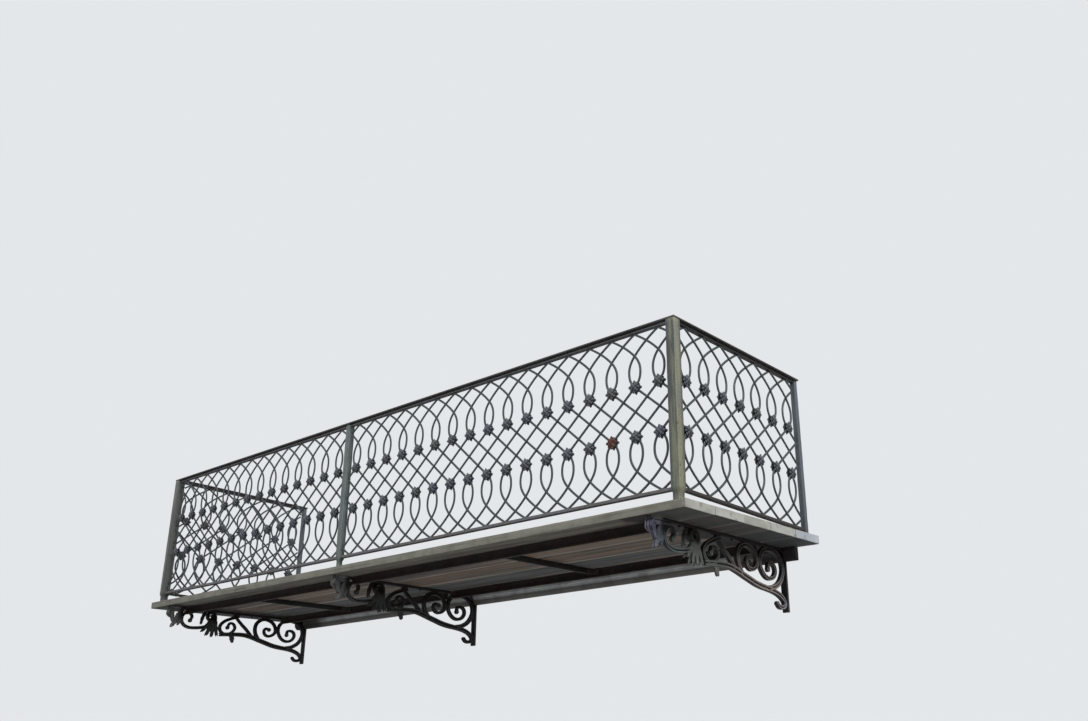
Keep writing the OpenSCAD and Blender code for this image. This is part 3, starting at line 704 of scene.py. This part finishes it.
# Old softwood: the paint is silvery where the sun reaches it, and the sheltered side is bare brown.
# For each plank, out from the wall: its top, its edge, its end and its underside.
EDGE = ("#6c6a5f", "#7c796e", "#4b463c")
PLANK_LOOKS = [
    (("#8d8a82", "#a5a299", "#858078"), EDGE, ("#9ca0a4", "#adb1b5"), ("#3b3a38", "#2d2c2a", "#211f1d")),
    (("#97948b", "#aaa79e", "#8c8880"), EDGE, ("#93928b", "#a4a39b"), ("#4c4a46", "#383a37", "#242321")),
    (("#8a877f", "#a09d94", "#807c73"), EDGE, ("#8f8e85", "#a09e94"), ("#64503f", "#3c3d39", "#2e251f")),
    (("#93908a", "#a8a59c", "#89857c"), EDGE, ("#93928b", "#a4a39b"), ("#655445", "#3c3733", "#2b241f")),
    (("#96938a", "#aca9a0", "#8b877e"), EDGE, ("#92908a", "#a3a197"), ("#5e5a4f", "#48413a", "#332d27"))]


def rounded(corners):
    """A section from its corners, each a centre, a radius and the angle at which it starts."""
    return [(u + r * math.cos(math.radians(start + turn)), v + r * math.sin(math.radians(start + turn)))
            for u, v, r, start in corners for turn in (0, 30, 60, 90)]


for n in range(1, PLANK_COUNT + 1):
    y_far = -n * PLANK_WIDTH - (n - 1) * PLANK_GAP
    y_near = y_far + PLANK_WIDTH
    y_middle, z_middle = (y_far + y_near) / 2, PLANK_THICKNESS / 2
    plank_wood = weathered_plank("weathered_softwood_plank_%d" % n, *PLANK_LOOKS[n - 1], y_near, n)
    # the section's corners, inner and outer, are rounded most along the deck's front edge
    inner, outer = PLANK_CORNER, NOSE_CORNER if n == PLANK_COUNT else PLANK_CORNER
    profile = rounded([
        (y_far + outer, outer, outer, 180), (y_near - inner, inner, inner, 270),
        (y_near - inner, PLANK_THICKNESS - inner, inner, 0),
        (y_far + outer, PLANK_THICKNESS - outer, outer, 90)])
    first, last = DECK_LEFT + END_CLEARANCE + END_EASING, DECK_RIGHT - END_CLEARANCE - END_EASING
    rings = []
    for x in np.linspace(first, last, PLANK_STEPS + 1):
        ring = []
        for y, z in profile:
            wear = abs(0.0009 * noise.noise(Vector((x * 9, y * 14 + n, z * 40))))
            ring.append(on_fall((x, y + math.copysign(wear, y_middle - y),
                                 z + math.copysign(wear, z_middle - z))))
        rings.append(ring)
    # eased ends: a slightly smaller ring at each end
    eased = [(y + math.copysign(END_EASING, y_middle - y), z + math.copysign(END_EASING, z_middle - z))
             for y, z in profile]
    rings.insert(0, [on_fall((DECK_LEFT + END_CLEARANCE, y, z)) for y, z in eased])
    rings.append([on_fall((DECK_RIGHT - END_CLEARANCE, y, z)) for y, z in eased])
    piece("deck_plank_%d_wood" % n, [rings], plank_wood,
          replaced=("deck_plank_%d" % n,), crease=40)

# Cut spikes: their square heads sit in the top of the planks over each bracket and cross bar.
SPIKE_PLACES = (0.22, 0.78)
SPIKE_HEAD, SPIKE_CROWN = 0.0048, 0.0034
spikes = []
for x in sorted([*BRACKET_X.values(), *CROSS_BAR_X.values()]):
    for n in range(PLANK_COUNT):
        for part in SPIKE_PLACES:
            y = -n * (PLANK_WIDTH + PLANK_GAP) - PLANK_WIDTH * part
            turn = math.radians(35 * noise.noise(Vector((x * 7, y * 9, 1.0))))
            corners = [turn + k * math.pi / 2 for k in range(4)]
            spikes.append([
                [on_fall((x + half * math.cos(q), y + half * math.sin(q), PLANK_THICKNESS + rise))
                 for q in corners]
                for half, rise in ((SPIKE_HEAD, -0.002), (SPIKE_HEAD, 0.0), (SPIKE_CROWN, 0.0008))])
piece("deck_spikes", spikes, beam_iron)


# Posts. Square wrought iron bars, the stoutest at the two front corners, the lightest against the
# wall. Each narrows to a foot that is let into the deck, and is thick with old paint.

POST_TOP = 0.948
POST_BOTTOM = 0.201
FOOT_STEP = 0.010
CORNER_POST, MIDDLE_POST, WALL_POST = 0.046, 0.034, 0.025
LEFT_X, RIGHT_X, RAIL_Y = -1.809, 2.190, -0.998
POST_STEPS = 48
POST_CHAMFER = 0.003
CORNER_SHARE = 0.09
PIT_DEPTH = 0.0009

# Wrought iron under lead paint gone grey-brown, yellow-olive on the side to the weather and the light, partly
# lichen and partly painted light.
lichened_paint = painted_iron(
    "wrought_iron_lichened_paint", "#616351", "#333834", ((0.42, "#7b775e"), (0.58, "#6f7062")), "#57473a",
    weather_and_light_side=(1.0, 0.0, 0.0), chalk_and_light_share=0.9, rusty=0.38, grain_mm=7, relief=0.0007,
    tone_mm=(19, 19, 260), rubbed_and_highlight=0.9)
# The middle post has lost its gloss to a rough blotchy grey-green.
grey_green_paint = painted_iron(
    "wrought_iron_grey_green_paint", "#4c5556", "#32383b", ((0.42, "#636d6c"), (0.58, "#6a6f66")), "#57473a",
    weather_and_light_side=(0.6, -0.8, 0.0), chalk_and_light_share=0.6, rusty=0.34, grain_mm=8, relief=0.0007, tone_mm=(14, 14, 120))
# The posts on the wall are sheltered, and their paint is a smooth blue-grey.
blue_grey_paint = painted_iron(
    "wrought_iron_blue_grey_paint", "#42484f", "#32363d", ((0.42, "#545c66"), (0.58, "#566064")), "#57473a",
    weather_and_light_side=(0.9, -0.4, 0.0), chalk_and_light_share=0.6, rusty=0.32, grain_mm=5, relief=0.0004, tone_mm=(12, 12, 180))


def add_arris_dirt_and_shade(paint):
    """Dirt and painted shade on a corner post's two outer faces, dark beside the panels and gone at the
    arris.
    """
    tree = paint.node_tree
    shader = tree.nodes["Principled BSDF"]
    place = add_node(tree, "ShaderNodeTexCoord").outputs["Object"]
    spot = add_node(tree, "ShaderNodeSeparateXYZ", {"Vector": place})
    blotch = add_node(tree, "ShaderNodeTexNoise", {
        "Vector": place, "Scale": 1 / 0.018, "Detail": 4.0, "Roughness": 0.7}).outputs["Fac"]
    # the further a spot is out along the front and out from the wall, the nearer it is to the arris
    outward = add_node(tree, "ShaderNodeMath", {
        0: spot.outputs["X"], 1: (LEFT_X + RIGHT_X) / -2}, operation="ADD").outputs[0]
    outward = add_node(tree, "ShaderNodeMath", {0: outward}, operation="ABSOLUTE").outputs[0]
    outward = add_node(tree, "ShaderNodeMath", {
        0: outward, 1: spot.outputs["Y"]}, operation="SUBTRACT").outputs[0]
    outward = add_node(tree, "ShaderNodeMath", {
        0: blotch, 1: 0.020, 2: outward}, operation="MULTIPLY_ADD").outputs[0]
    arris = (RIGHT_X - LEFT_X) / 2 - RAIL_Y + 0.010
    dirty_and_shaded = add_node(tree, "ShaderNodeMapRange", {
        "Value": outward, "From Min": arris + 0.022, "From Max": arris + 0.006, "To Max": 0.75},
        interpolation_type="SMOOTHSTEP").outputs[0]
    painted = shader.inputs["Base Color"].links[0].from_socket
    dirt_and_shade = add_node(tree, "ShaderNodeMix", {0: dirty_and_shaded, 6: painted, 7: colour("#34373a")}, data_type="RGBA")
    tree.links.new(dirt_and_shade.outputs[2], shader.inputs["Base Color"])


add_arris_dirt_and_shade(lichened_paint)

for name, x, y, width, paint in (
        ("left_corner_post", LEFT_X, RAIL_Y, CORNER_POST, lichened_paint),
        ("middle_post", 0.0, RAIL_Y, MIDDLE_POST, grey_green_paint),
        ("right_corner_post", RIGHT_X, RAIL_Y, CORNER_POST, lichened_paint),
        ("left_wall_post", LEFT_X, -WALL_POST / 2, WALL_POST, blue_grey_paint),
        ("right_wall_post", RIGHT_X, -WALL_POST / 2, WALL_POST, blue_grey_paint)):
    deck_top = DECK_UNDERSIDE + PLANK_THICKNESS / math.cos(FALL) + y * math.tan(FALL)
    foot, half = (width - FOOT_STEP) / 2, width / 2
    # heights and half widths, from the paint that has run onto the deck up to the top
    levels = [
        (deck_top - 0.001, foot + 0.003), (deck_top + 0.004, foot + 0.002), (deck_top + 0.008, foot),
        (POST_BOTTOM - 0.006, foot), (POST_BOTTOM - 0.001, foot + 0.003), (POST_BOTTOM, half - 0.002),
        (POST_BOTTOM + POST_CHAMFER, half)]
    shaft = POST_TOP - POST_BOTTOM - 2 * POST_CHAMFER
    levels += [(POST_BOTTOM + POST_CHAMFER + shaft * k / POST_STEPS, half) for k in range(1, POST_STEPS + 1)]
    levels += [(POST_TOP, half - 0.002)]
    r = width * CORNER_SHARE
    rings = []
    for z, h in levels:
        ring = []
        for u, v in rounded([(h - r, h - r, r, 0), (r - h, h - r, r, 90),
                             (r - h, r - h, r, 180), (h - r, r - h, r, 270)]):
            pit = PIT_DEPTH * abs(noise.noise(Vector((u * 40 + x, v * 40 + y, z * 22))))
            ring.append((x + u * (1 - pit / h), y + v * (1 - pit / h), z))
        rings.append(ring)
    piece(name + "_bar", [rings], paint, replaced=(name,), crease=40)


# Rails. A flat bar above and below each panel takes the ends of the lattice bars, riveted over.
# The handrail is a half-oval bar on the post tops, mitred at the corners and let into the wall.

UNIT, SIDE_UNIT, END_GAP = 0.127, 0.137, 0.079
RAIL_MIDDLE, PANEL_HEIGHT = 0.578, 0.714
RAIL_WIDTH, UPPER_RAIL, BOTTOM_RAIL = 0.022, 0.008, 0.014
RAIL_CHAMFER, RAIL_STEPS, RAIL_OVERLAP = 0.0014, 40, 0.001
PANEL_TOP = RAIL_MIDDLE + PANEL_HEIGHT / 2
PANEL_BOTTOM = RAIL_MIDDLE - PANEL_HEIGHT / 2
HANDRAIL_WIDTH, HANDRAIL_THICKNESS = 0.046, 0.011
HANDRAIL_SIDE, HANDRAIL_CHAMFER = 0.0062, 0.0015
# a bar's riveted end, as radii and how far they stand out
RIVETED_END = ((0.0050, -0.0010), (0.0048, 0.0008), (0.0034, 0.0020), (0.0014, 0.0026))

# The bottom rails hold water, so their paint has gone to brown rust along the edges.
rail_iron = painted_iron(
    "wrought_iron_rusting_grey_paint", "#2f2e30", "#222123",
    ((0.42, "#6e6f74"), (0.58, "#6b6761")), "#60402f",
    weather_and_light_side=(0.1, -0.8, 0.4), chalk_and_light_share=0.8, rusty=0.42, grain_mm=5, relief=0.0006, shine=0.3)
# On the two sides the wet runs off the deck onto them, and they are black and brown.
side_rail_iron = painted_iron(
    "wrought_iron_wet_black_paint", "#181412", "#0f0c0b", ((0.42, "#2b2420"), (0.58, "#3a2e28")), "#6b4636",
    weather_and_light_side=(0.5, -0.2, 0.8), chalk_and_light_share=0.5, rusty=0.42, grain_mm=5, relief=0.0006)
# The handrail's paint is rubbed thin and dull: brown-black, with grey along the edges.
handrail_iron = painted_iron(
    "wrought_iron_rubbed_brown_black_paint", "#2b2826", "#1b1918",
    ((0.42, "#5f5c5b"), (0.58, "#57504c")), "#5b4034",
    weather_and_light_side=(0.5, -0.8, 0.3), chalk_and_light_share=0.6, rusty=0.36, grain_mm=5, relief=0.0004, shine=0.2)

# A panel: rosettes in a row, their spacing, the post it starts from, its direction, its clear opening.
Panel = namedtuple("Panel", "units unit start way clear_from clear_to")
LEFT_CORNER, RIGHT_CORNER, HALF_CORNER = (LEFT_X, RAIL_Y), (RIGHT_X, RAIL_Y), CORNER_POST / 2
SIDE_CLEAR_TO = -RAIL_Y - WALL_POST
PANELS = {
    "left_front": Panel(14, UNIT, LEFT_CORNER, (1, 0), HALF_CORNER, -LEFT_X - MIDDLE_POST / 2),
    "right_front": Panel(17, UNIT, (0.0, RAIL_Y), (1, 0), MIDDLE_POST / 2, RIGHT_X - HALF_CORNER),
    "left_side": Panel(7, SIDE_UNIT, LEFT_CORNER, (0, 1), HALF_CORNER, SIDE_CLEAR_TO),
    "right_side": Panel(7, SIDE_UNIT, RIGHT_CORNER, (0, 1), HALF_CORNER, SIDE_CLEAR_TO)}


def on_panel(panel, u, depth, z):
    """From a panel's own plane to the balcony: depth is outwards on the front, and +X on both sides."""
    (x, y), (dx, dy) = panel.start, panel.way
    return (x + dx * u + dy * depth, y + dy * u - dx * depth, z)


def rivet(place, profile):
    """A domed rivet head from pairs of a radius and a height; place maps (a, b, out)."""
    return [[place(r * math.cos(k * math.pi / 4), r * math.sin(k * math.pi / 4), out) for k in range(8)]
            for r, out in profile]


def chamfered(d0, d1, z0, z1, c):
    """The section of a bar with its corners taken off."""
    return [(d0 + c, z0), (d1 - c, z0), (d1, z0 + c), (d1, z1 - c),
            (d1 - c, z1), (d0 + c, z1), (d0, z1 - c), (d0, z0 + c)]


for name, panel in PANELS.items():
    rails = []
    ends = panel.clear_from - RAIL_OVERLAP, panel.clear_to + RAIL_OVERLAP
    for z0, z1 in ((PANEL_TOP, PANEL_TOP + UPPER_RAIL), (PANEL_BOTTOM - BOTTOM_RAIL, PANEL_BOTTOM)):
        section = chamfered(-RAIL_WIDTH / 2, RAIL_WIDTH / 2, z0, z1, RAIL_CHAMFER)
        rings = []
        for u in np.linspace(*ends, RAIL_STEPS + 1):
            sway = 0.0007 * noise.noise(Vector((u * 3.1, z0 * 9, len(name))))
            rings.append([on_panel(panel, u, d + sway, z) for d, z in section])
        rails.append(rings)
    # riveted ends of the lattice bars under the bottom rail and on the upper rail
    for i in range(panel.units):
        for z, way in ((PANEL_BOTTOM - BOTTOM_RAIL, -1), (PANEL_TOP + UPPER_RAIL, 1)):
            rails.append(rivet(lambda a, b, out: on_panel(
                panel, END_GAP + i * panel.unit + a, b, z + way * out), RIVETED_END))
    piece(name + "_rail_bars", rails, side_rail_iron if "side" in name else rail_iron,
          replaced=(name + "_rails",), crease=40)

# the handrail's section: half an oval on short upright sides
handrail_profile = []
for k in range(9):
    q = math.radians(180 * k / 8)
    crown = (HANDRAIL_THICKNESS - HANDRAIL_SIDE) * math.sin(q) ** 0.8
    handrail_profile.append((HANDRAIL_WIDTH / 2 * math.cos(q), HANDRAIL_SIDE + crown))
handrail_profile += [
    (-HANDRAIL_WIDTH / 2, HANDRAIL_CHAMFER), (-HANDRAIL_WIDTH / 2 + HANDRAIL_CHAMFER, 0.0),
    (HANDRAIL_WIDTH / 2 - HANDRAIL_CHAMFER, 0.0), (HANDRAIL_WIDTH / 2, HANDRAIL_CHAMFER)]
FRONT_STEPS, SIDE_STEPS = 60, 20

# both ends of the front length are mitred: d is out from the middle of the bar
rings = [[(LEFT_X - d + (RIGHT_X - LEFT_X + 2 * d) * s, RAIL_Y - d, POST_TOP + h)
          for d, h in handrail_profile] for s in np.linspace(0, 1, FRONT_STEPS + 1)]
piece("front_handrail_bar", [rings], handrail_iron,
      replaced=("front_handrail",), crease=30)

for name, x, way in (("left_side_handrail", LEFT_X, -1), ("right_side_handrail", RIGHT_X, 1)):
    rings = [[(x + way * d, (RAIL_Y - d) * (1 - s), POST_TOP + h) for d, h in handrail_profile]
             for s in np.linspace(0, 1, SIDE_STEPS + 1)]
    piece(name + "_bar", [rings], handrail_iron, replaced=(name,), crease=30)


# Lattice panels. Each is a row of 3/8 inch wrought iron bars bent hot to one S shape, leaning left
# and right, let into each other where they cross, and held there by a small rivet.

BAR_WIDTH, BAR_DEPTH, BAR_LAP, BAR_CHAMFER = 0.010, 0.007, 0.003, 0.0016
ROW_HEIGHT, OVAL_HEIGHT = 0.111, 0.146
# how far the bars run in under the posts, and how near a post a rivet may be
BAR_HOLD, RIVET_MARGIN = 0.003, 0.01
CROSSING_RIVET = ((0.0042, 0.0050), (0.0040, 0.0062), (0.0026, 0.0072), (0.0010, 0.0076))

# Wrought iron under black paint that has dulled to a blue-black, with grey on the edges, partly worn paint
# and partly a painted highlight.
lattice_iron = painted_iron(
    "wrought_iron_blue_black_paint", "#20282a", "#161b1d", ((0.42, "#414c50"), (0.58, "#464c49")), "#4c3228",
    weather_and_light_side=(0.6, -0.5, 0.6), chalk_and_light_share=0.6, rusty=0.33, grain_mm=5, relief=0.0004)


def bent_bar(unit):
    """The centre line of one bar, as (across, up) points from the upper rail to the bottom rail."""
    half = PANEL_HEIGHT / 2
    middle = -unit / ROW_HEIGHT
    oval_top, oval_middle = ROW_HEIGHT + OVAL_HEIGHT, ROW_HEIGHT + OVAL_HEIGHT / 2
    # height, how far across, and the slope there
    keys = [
        (half, 0, 1.7), (oval_top, unit, 0.9), (oval_middle, 1.25 * unit, 0),
        (ROW_HEIGHT, unit, middle), (-ROW_HEIGHT, -unit, middle), (-oval_middle, -1.25 * unit, 0),
        (-oval_top, -unit, 0.9), (-half, 0, 1.7)]
    line = []
    for (z0, x0, s0), (z1, x1, s1) in zip(keys, keys[1:]):
        h = z0 - z1
        steps = 14 if z0 == ROW_HEIGHT else 8
        for t in np.arange(steps) / steps:
            x = (x0 * (1 + 2 * t) * (1 - t)**2 + x1 * t * t * (3 - 2 * t)
                 + h * (s0 * t * (1 - t)**2 - s1 * t * t * (1 - t)))
            line.append((x, z0 - h * t))
    line.append((0.0, -half))
    return np.array(line)


def crossings(panel, line):
    """The places where bars of one lean meet bars of the other, between the posts."""
    places = set()
    for gap in range(-3, 4):
        # a bar and its mirror image, gap spacings apart, meet where across = gap / 2 spacings
        offset = line[:, 0] - gap * panel.unit / 2
        for k in range(len(line) - 1):
            if offset[k] == 0 or offset[k] * offset[k + 1] < 0:
                t = 0 if offset[k] == 0 else offset[k] / (offset[k] - offset[k + 1])
                z = line[k, 1] + (line[k + 1, 1] - line[k, 1]) * t
                for i in range(-1, panel.units + 1):
                    u = END_GAP + i * panel.unit + gap * panel.unit / 2
                    if (panel.clear_from + RIVET_MARGIN < u < panel.clear_to - RIVET_MARGIN
                            and abs(z) < PANEL_HEIGHT / 2 - RIVET_MARGIN):
                        places.add((round(u, 4), round(z, 4)))
    return sorted(places)


# one bar, and then the panels, each with two layers of bars and a rivet on both faces of a crossing
BAR_SECTION = chamfered(-BAR_WIDTH / 2, BAR_WIDTH / 2, -BAR_DEPTH / 2, BAR_DEPTH / 2, BAR_CHAMFER)

for name, panel in PANELS.items():
    upright = bent_bar(panel.unit)
    square_to = normals_of(upright)
    bars = []
    for lean in (1, -1):
        depth = lean * (BAR_DEPTH - BAR_LAP) / 2
        for i in range(-1, panel.units + 1):
            line = upright * (lean, 1) + (END_GAP + i * panel.unit, 0)
            n = square_to * (lean, 1)
            inside = (line[:, 0] > panel.clear_from - BAR_HOLD) & (line[:, 0] < panel.clear_to + BAR_HOLD)
            for run in np.split(np.arange(len(line)), np.flatnonzero(np.diff(inside)) + 1):
                if not inside[run[0]] or len(run) < 2:
                    continue
                rings = []
                for p, m in zip(line[run], n[run]):
                    # bent by hand, so no two bars are quite alike
                    hand = 0.0010 * noise.noise(Vector((i * 3.7, lean * 5.1, p[1] * 6)))
                    rings.append([on_panel(panel, p[0] + m[0] * u + hand, depth + v,
                                           RAIL_MIDDLE + p[1] + m[1] * u) for u, v in BAR_SECTION])
                bars.append(rings)
    for u, z in crossings(panel, upright):
        # a rosette covers this crossing
        if abs(abs(z) - ROW_HEIGHT) < 0.006 and abs(((u - END_GAP) / panel.unit) % 1) < 0.02:
            continue
        for way in (1, -1):
            bars.append(rivet(lambda a, b, out: on_panel(
                panel, u + a, way * out, RAIL_MIDDLE + z + b), CROSSING_RIVET))
    piece(name + "_lattice_bars", bars, lattice_iron,
          replaced=(name + "_lattice",), crease=40)


# Rosettes. Small iron castings riveted over the crossings in two rows, one on each face: four long
# leaves and four short ones, four cupped petals on them, and a round boss.

ROSETTE_RADIUS = 0.031
LONG_LEAF, SHORT_LEAF, LEAF_VALLEY = 0.99 * ROSETTE_RADIUS, 0.85 * ROSETTE_RADIUS, 0.72 * ROSETTE_RADIUS
BOSS_RADIUS = 0.0074
PETAL_BACK, BOSS_BACK = 0.0048, 0.006
# from the middle of a panel to a rosette's back
ROSETTE_STANDS = 0.0055

# Cast iron, black paint with a blue-grey bloom on the leaf tops.
rosette_iron = painted_iron(
    "cast_iron_rosette_black_paint", "#222426", "#131415", ((0.42, "#5b5f6b"), (0.58, "#575c5a")), "#4b3026",
    weather_and_light_side=(0.5, -0.6, 0.6), chalk_and_light_share=0.8, rusty=0.36, grain_mm=3, relief=0.0004)
# One rosette has lost all its paint and is red with rust.
red_rust = painted_iron(
    "cast_iron_red_rust", "#4c302c", "#33201d", ((0.42, "#6f5650"), (0.58, "#75605a")), "#5f3529",
    weather_and_light_side=(0.5, -0.6, 0.6), chalk_and_light_share=0.6, rusty=0.55, grain_mm=3, relief=0.0006)


def off_middle_of(q, width):
    """How far the direction q is from the middle of its leaf or petal, from 0 to 1 at its edge."""
    return abs((q / width + 0.5) % 1 - 0.5) * 2


def leaf_radius(q):
    """Where the leaves end: a long one and a short one in turn."""
    turn = (q / (math.pi / 4)) % 2
    tip = LONG_LEAF if turn < 0.5 or turn > 1.5 else SHORT_LEAF
    return LEAF_VALLEY + (tip - LEAF_VALLEY) * (1 - off_middle_of(q, math.pi / 4)) ** 0.7


def leaf_height(q, s):
    """The leaves' tops, with a rib along each; s runs from the middle out to the rim."""
    off = off_middle_of(q, math.pi / 4)
    body = 0.0064 * (1 - 0.35 * s ** 3) - 0.0026 * off ** 2 * min(1, 2 * s)
    rib = 0.0012 * math.exp(-(off * 5) ** 2) * math.sin(math.pi * min(1, s * 1.1))
    return body + rib


def petal_radius(q):
    """Where the four petals end, between the long leaves."""
    off = off_middle_of(q - math.pi / 4, math.pi / 2)
    return ROSETTE_RADIUS * (0.30 + 0.33 * (1 - off ** 2) ** 0.7)


def petal_height(q, s):
    """The petals' tops, cupped up in the middle of each."""
    off = off_middle_of(q - math.pi / 4, math.pi / 2)
    return 0.0074 + 0.0032 * math.sin(math.pi * (0.15 + 0.75 * s)) - 0.0016 * off ** 2 * s


def boss_height(q, s):
    """The boss, a low dome."""
    return 0.0088 + 0.0052 * math.sqrt(max(0.0, 1 - s * s))


def rosette_tier(radius_of, height_of, around, out, back):
    """One tier of a rosette: rings of points from its middle out, and a rim down to its back."""
    angles = [2 * math.pi * k / around for k in range(around)]
    rings = [[(radius_of(q) * (i + 0.15) / (out + 0.15), q, height_of(q, i / out)) for q in angles]
             for i in range(out + 1)]
    rings.append([(radius_of(q) * 0.93, q, back) for q in angles])
    return [[(r * math.cos(q), r * math.sin(q), z) for r, q, z in ring] for ring in rings]


ROSETTE = [rosette_tier(leaf_radius, leaf_height, 48, 5, 0.0),
           rosette_tier(petal_radius, petal_height, 32, 4, PETAL_BACK),
           rosette_tier(lambda q: BOSS_RADIUS, boss_height, 14, 4, BOSS_BACK)]

for name, panel in PANELS.items():
    for row, level in (("upper", 1), ("lower", -1)):
        castings = []
        for i in range(panel.units):
            for way in (1, -1):
                # no two were riveted on at quite the same turn
                turn = math.radians(9 * noise.noise(Vector((i * 1.9, level * 3.3, way + len(name)))))
                c, s = math.cos(turn), math.sin(turn)
                castings += [[[on_panel(panel, END_GAP + i * panel.unit + px * c - py * s,
                                        way * (ROSETTE_STANDS + pz),
                                        RAIL_MIDDLE + level * ROW_HEIGHT + px * s + py * c)
                               for px, py, pz in ring] for ring in tier] for tier in ROSETTE]
        made = piece(name + "_" + row + "_rosette_castings", castings, rosette_iron,
                     replaced=(name + "_" + row + "_rosettes",), crease=50)
        if name == "right_front" and row == "lower":
            # the third from the right end, on the outer face
            red_x = END_GAP + (panel.units - 3) * panel.unit
            made.data.materials.append(red_rust)
            for face in made.data.polygons:
                if abs(face.center.x - red_x) < ROSETTE_RADIUS and face.center.y < RAIL_Y:
                    face.material_index = 1


# Floor, light and camera. The floor is a plain pale level well below the deck, the light is a soft
# sky that is brightest over the right end, and the camera stands low off the deck's right corner.

FLOOR_Z = -2.45
FLOOR_CORNERS = [(-14, -14, FLOOR_Z), (14, -14, FLOOR_Z), (14, 8, FLOOR_Z), (-14, 8, FLOOR_Z)]
PALE_GREY = "#e4e7e9"

floor_mesh = bpy.data.meshes.new("floor")
floor_mesh.from_pydata(FLOOR_CORNERS, [], [(0, 1, 2, 3)])
floor = bpy.data.objects.new("floor", floor_mesh)
bpy.context.scene.collection.objects.link(floor)
floor_paint, tree, shader = new_material("pale_floor")[:3]
speckle = add_node(tree, "ShaderNodeTexNoise", {"Scale": 3.0, "Detail": 3.0}).outputs["Fac"]
floor_colour = add_node(tree, "ShaderNodeMix", {
    0: speckle, 6: colour("#d3d5d6"), 7: colour("#dcdedf")}, data_type="RGBA").outputs[2]
tree.links.new(floor_colour, shader.inputs["Base Color"])
shader.inputs["Roughness"].default_value = 0.9
# to the eye it is as pale as the backdrop, with the shadow at less than half strength
path = add_node(tree, "ShaderNodeLightPath")
eye = add_node(tree, "ShaderNodeMath", {
    0: path.outputs["Is Camera Ray"], 1: 0.6}, operation="MULTIPLY").outputs[0]
pale_level = add_node(tree, "ShaderNodeEmission", {"Color": colour(PALE_GREY), "Strength": 1.0})
shown = add_node(tree, "ShaderNodeMixShader", {0: eye, 1: shader.outputs["BSDF"], 2: pale_level.outputs[0]})
tree.links.new(shown.outputs[0], tree.nodes["Material Output"].inputs["Surface"])
floor_mesh.materials.append(floor_paint)

world = bpy.data.worlds.new("sky")
bpy.context.scene.world = world
world.use_nodes = True
tree = world.node_tree
tree.nodes.clear()
path = add_node(tree, "ShaderNodeLightPath")
seen = add_node(tree, "ShaderNodeMath", {
    0: path.outputs["Is Camera Ray"], 1: path.outputs["Is Glossy Ray"]}, operation="MAXIMUM").outputs[0]
backdrop = add_node(tree, "ShaderNodeBackground", {"Color": colour(PALE_GREY), "Strength": 1.0})
ambient = add_node(tree, "ShaderNodeBackground", {"Color": colour("#dfe6ee"), "Strength": 0.55})
both = add_node(tree, "ShaderNodeMixShader", {
    0: seen, 1: ambient.outputs[0], 2: backdrop.outputs[0]})
add_node(tree, "ShaderNodeOutputWorld", {"Surface": both.outputs[0]})

# each soft box: its place, what it points at, its size across, its watts and its tint
SOFT_BOXES = {
    "sky_right": ((7.2, -2.6, 4.9), (0.8, -0.5, 0.3), 3.6, 520, "#ffffff"),
    "sky_front": ((1.0, -7.5, 5.0), (0.4, -0.5, 0.4), 5.0, 210, "#ffffff"),
    "sky_left": ((-6.0, -3.5, 4.5), (0.0, -0.5, 0.4), 5.0, 110, "#eaf1ff")}
for name, (place, target, size, watts, tint) in SOFT_BOXES.items():
    lamp = bpy.data.lights.new(name, "AREA")
    lamp.shape = "DISK"
    lamp.size = size
    lamp.energy = watts
    lamp.color = colour(tint)[:3]
    made = bpy.data.objects.new(name, lamp)
    made.location = place
    made.rotation_euler = (Vector(target) - Vector(place)).to_track_quat("-Z", "Y").to_euler()
    bpy.context.scene.collection.objects.link(made)

# the photo's own focal length, in pixels of its width
FOCAL_PIXELS, PHOTO_WIDTH = 1061.83, 1088
SENSOR_MM = 36.0
CAMERA_PLACE = (4.58458861, -4.37333744, -0.88781941)
CAMERA_RIGHT = (0.73608307, 0.67679196, 0.01159087)
CAMERA_UP = (0.24334725, -0.28056718, 0.92847411)
CAMERA_BACK = (0.63163583, -0.68061347, -0.37121622)

camera_data = bpy.data.cameras.new("camera")
camera_data.sensor_fit = "HORIZONTAL"
camera_data.sensor_width = SENSOR_MM
camera_data.lens = SENSOR_MM * FOCAL_PIXELS / PHOTO_WIDTH
camera = bpy.data.objects.new("camera", camera_data)
camera.matrix_world = Matrix([*zip(CAMERA_RIGHT, CAMERA_UP, CAMERA_BACK, CAMERA_PLACE), (0, 0, 0, 1)])
bpy.context.scene.collection.objects.link(camera)
bpy.context.scene.camera = camera
bpy.context.scene.view_settings.view_transform = "Standard"
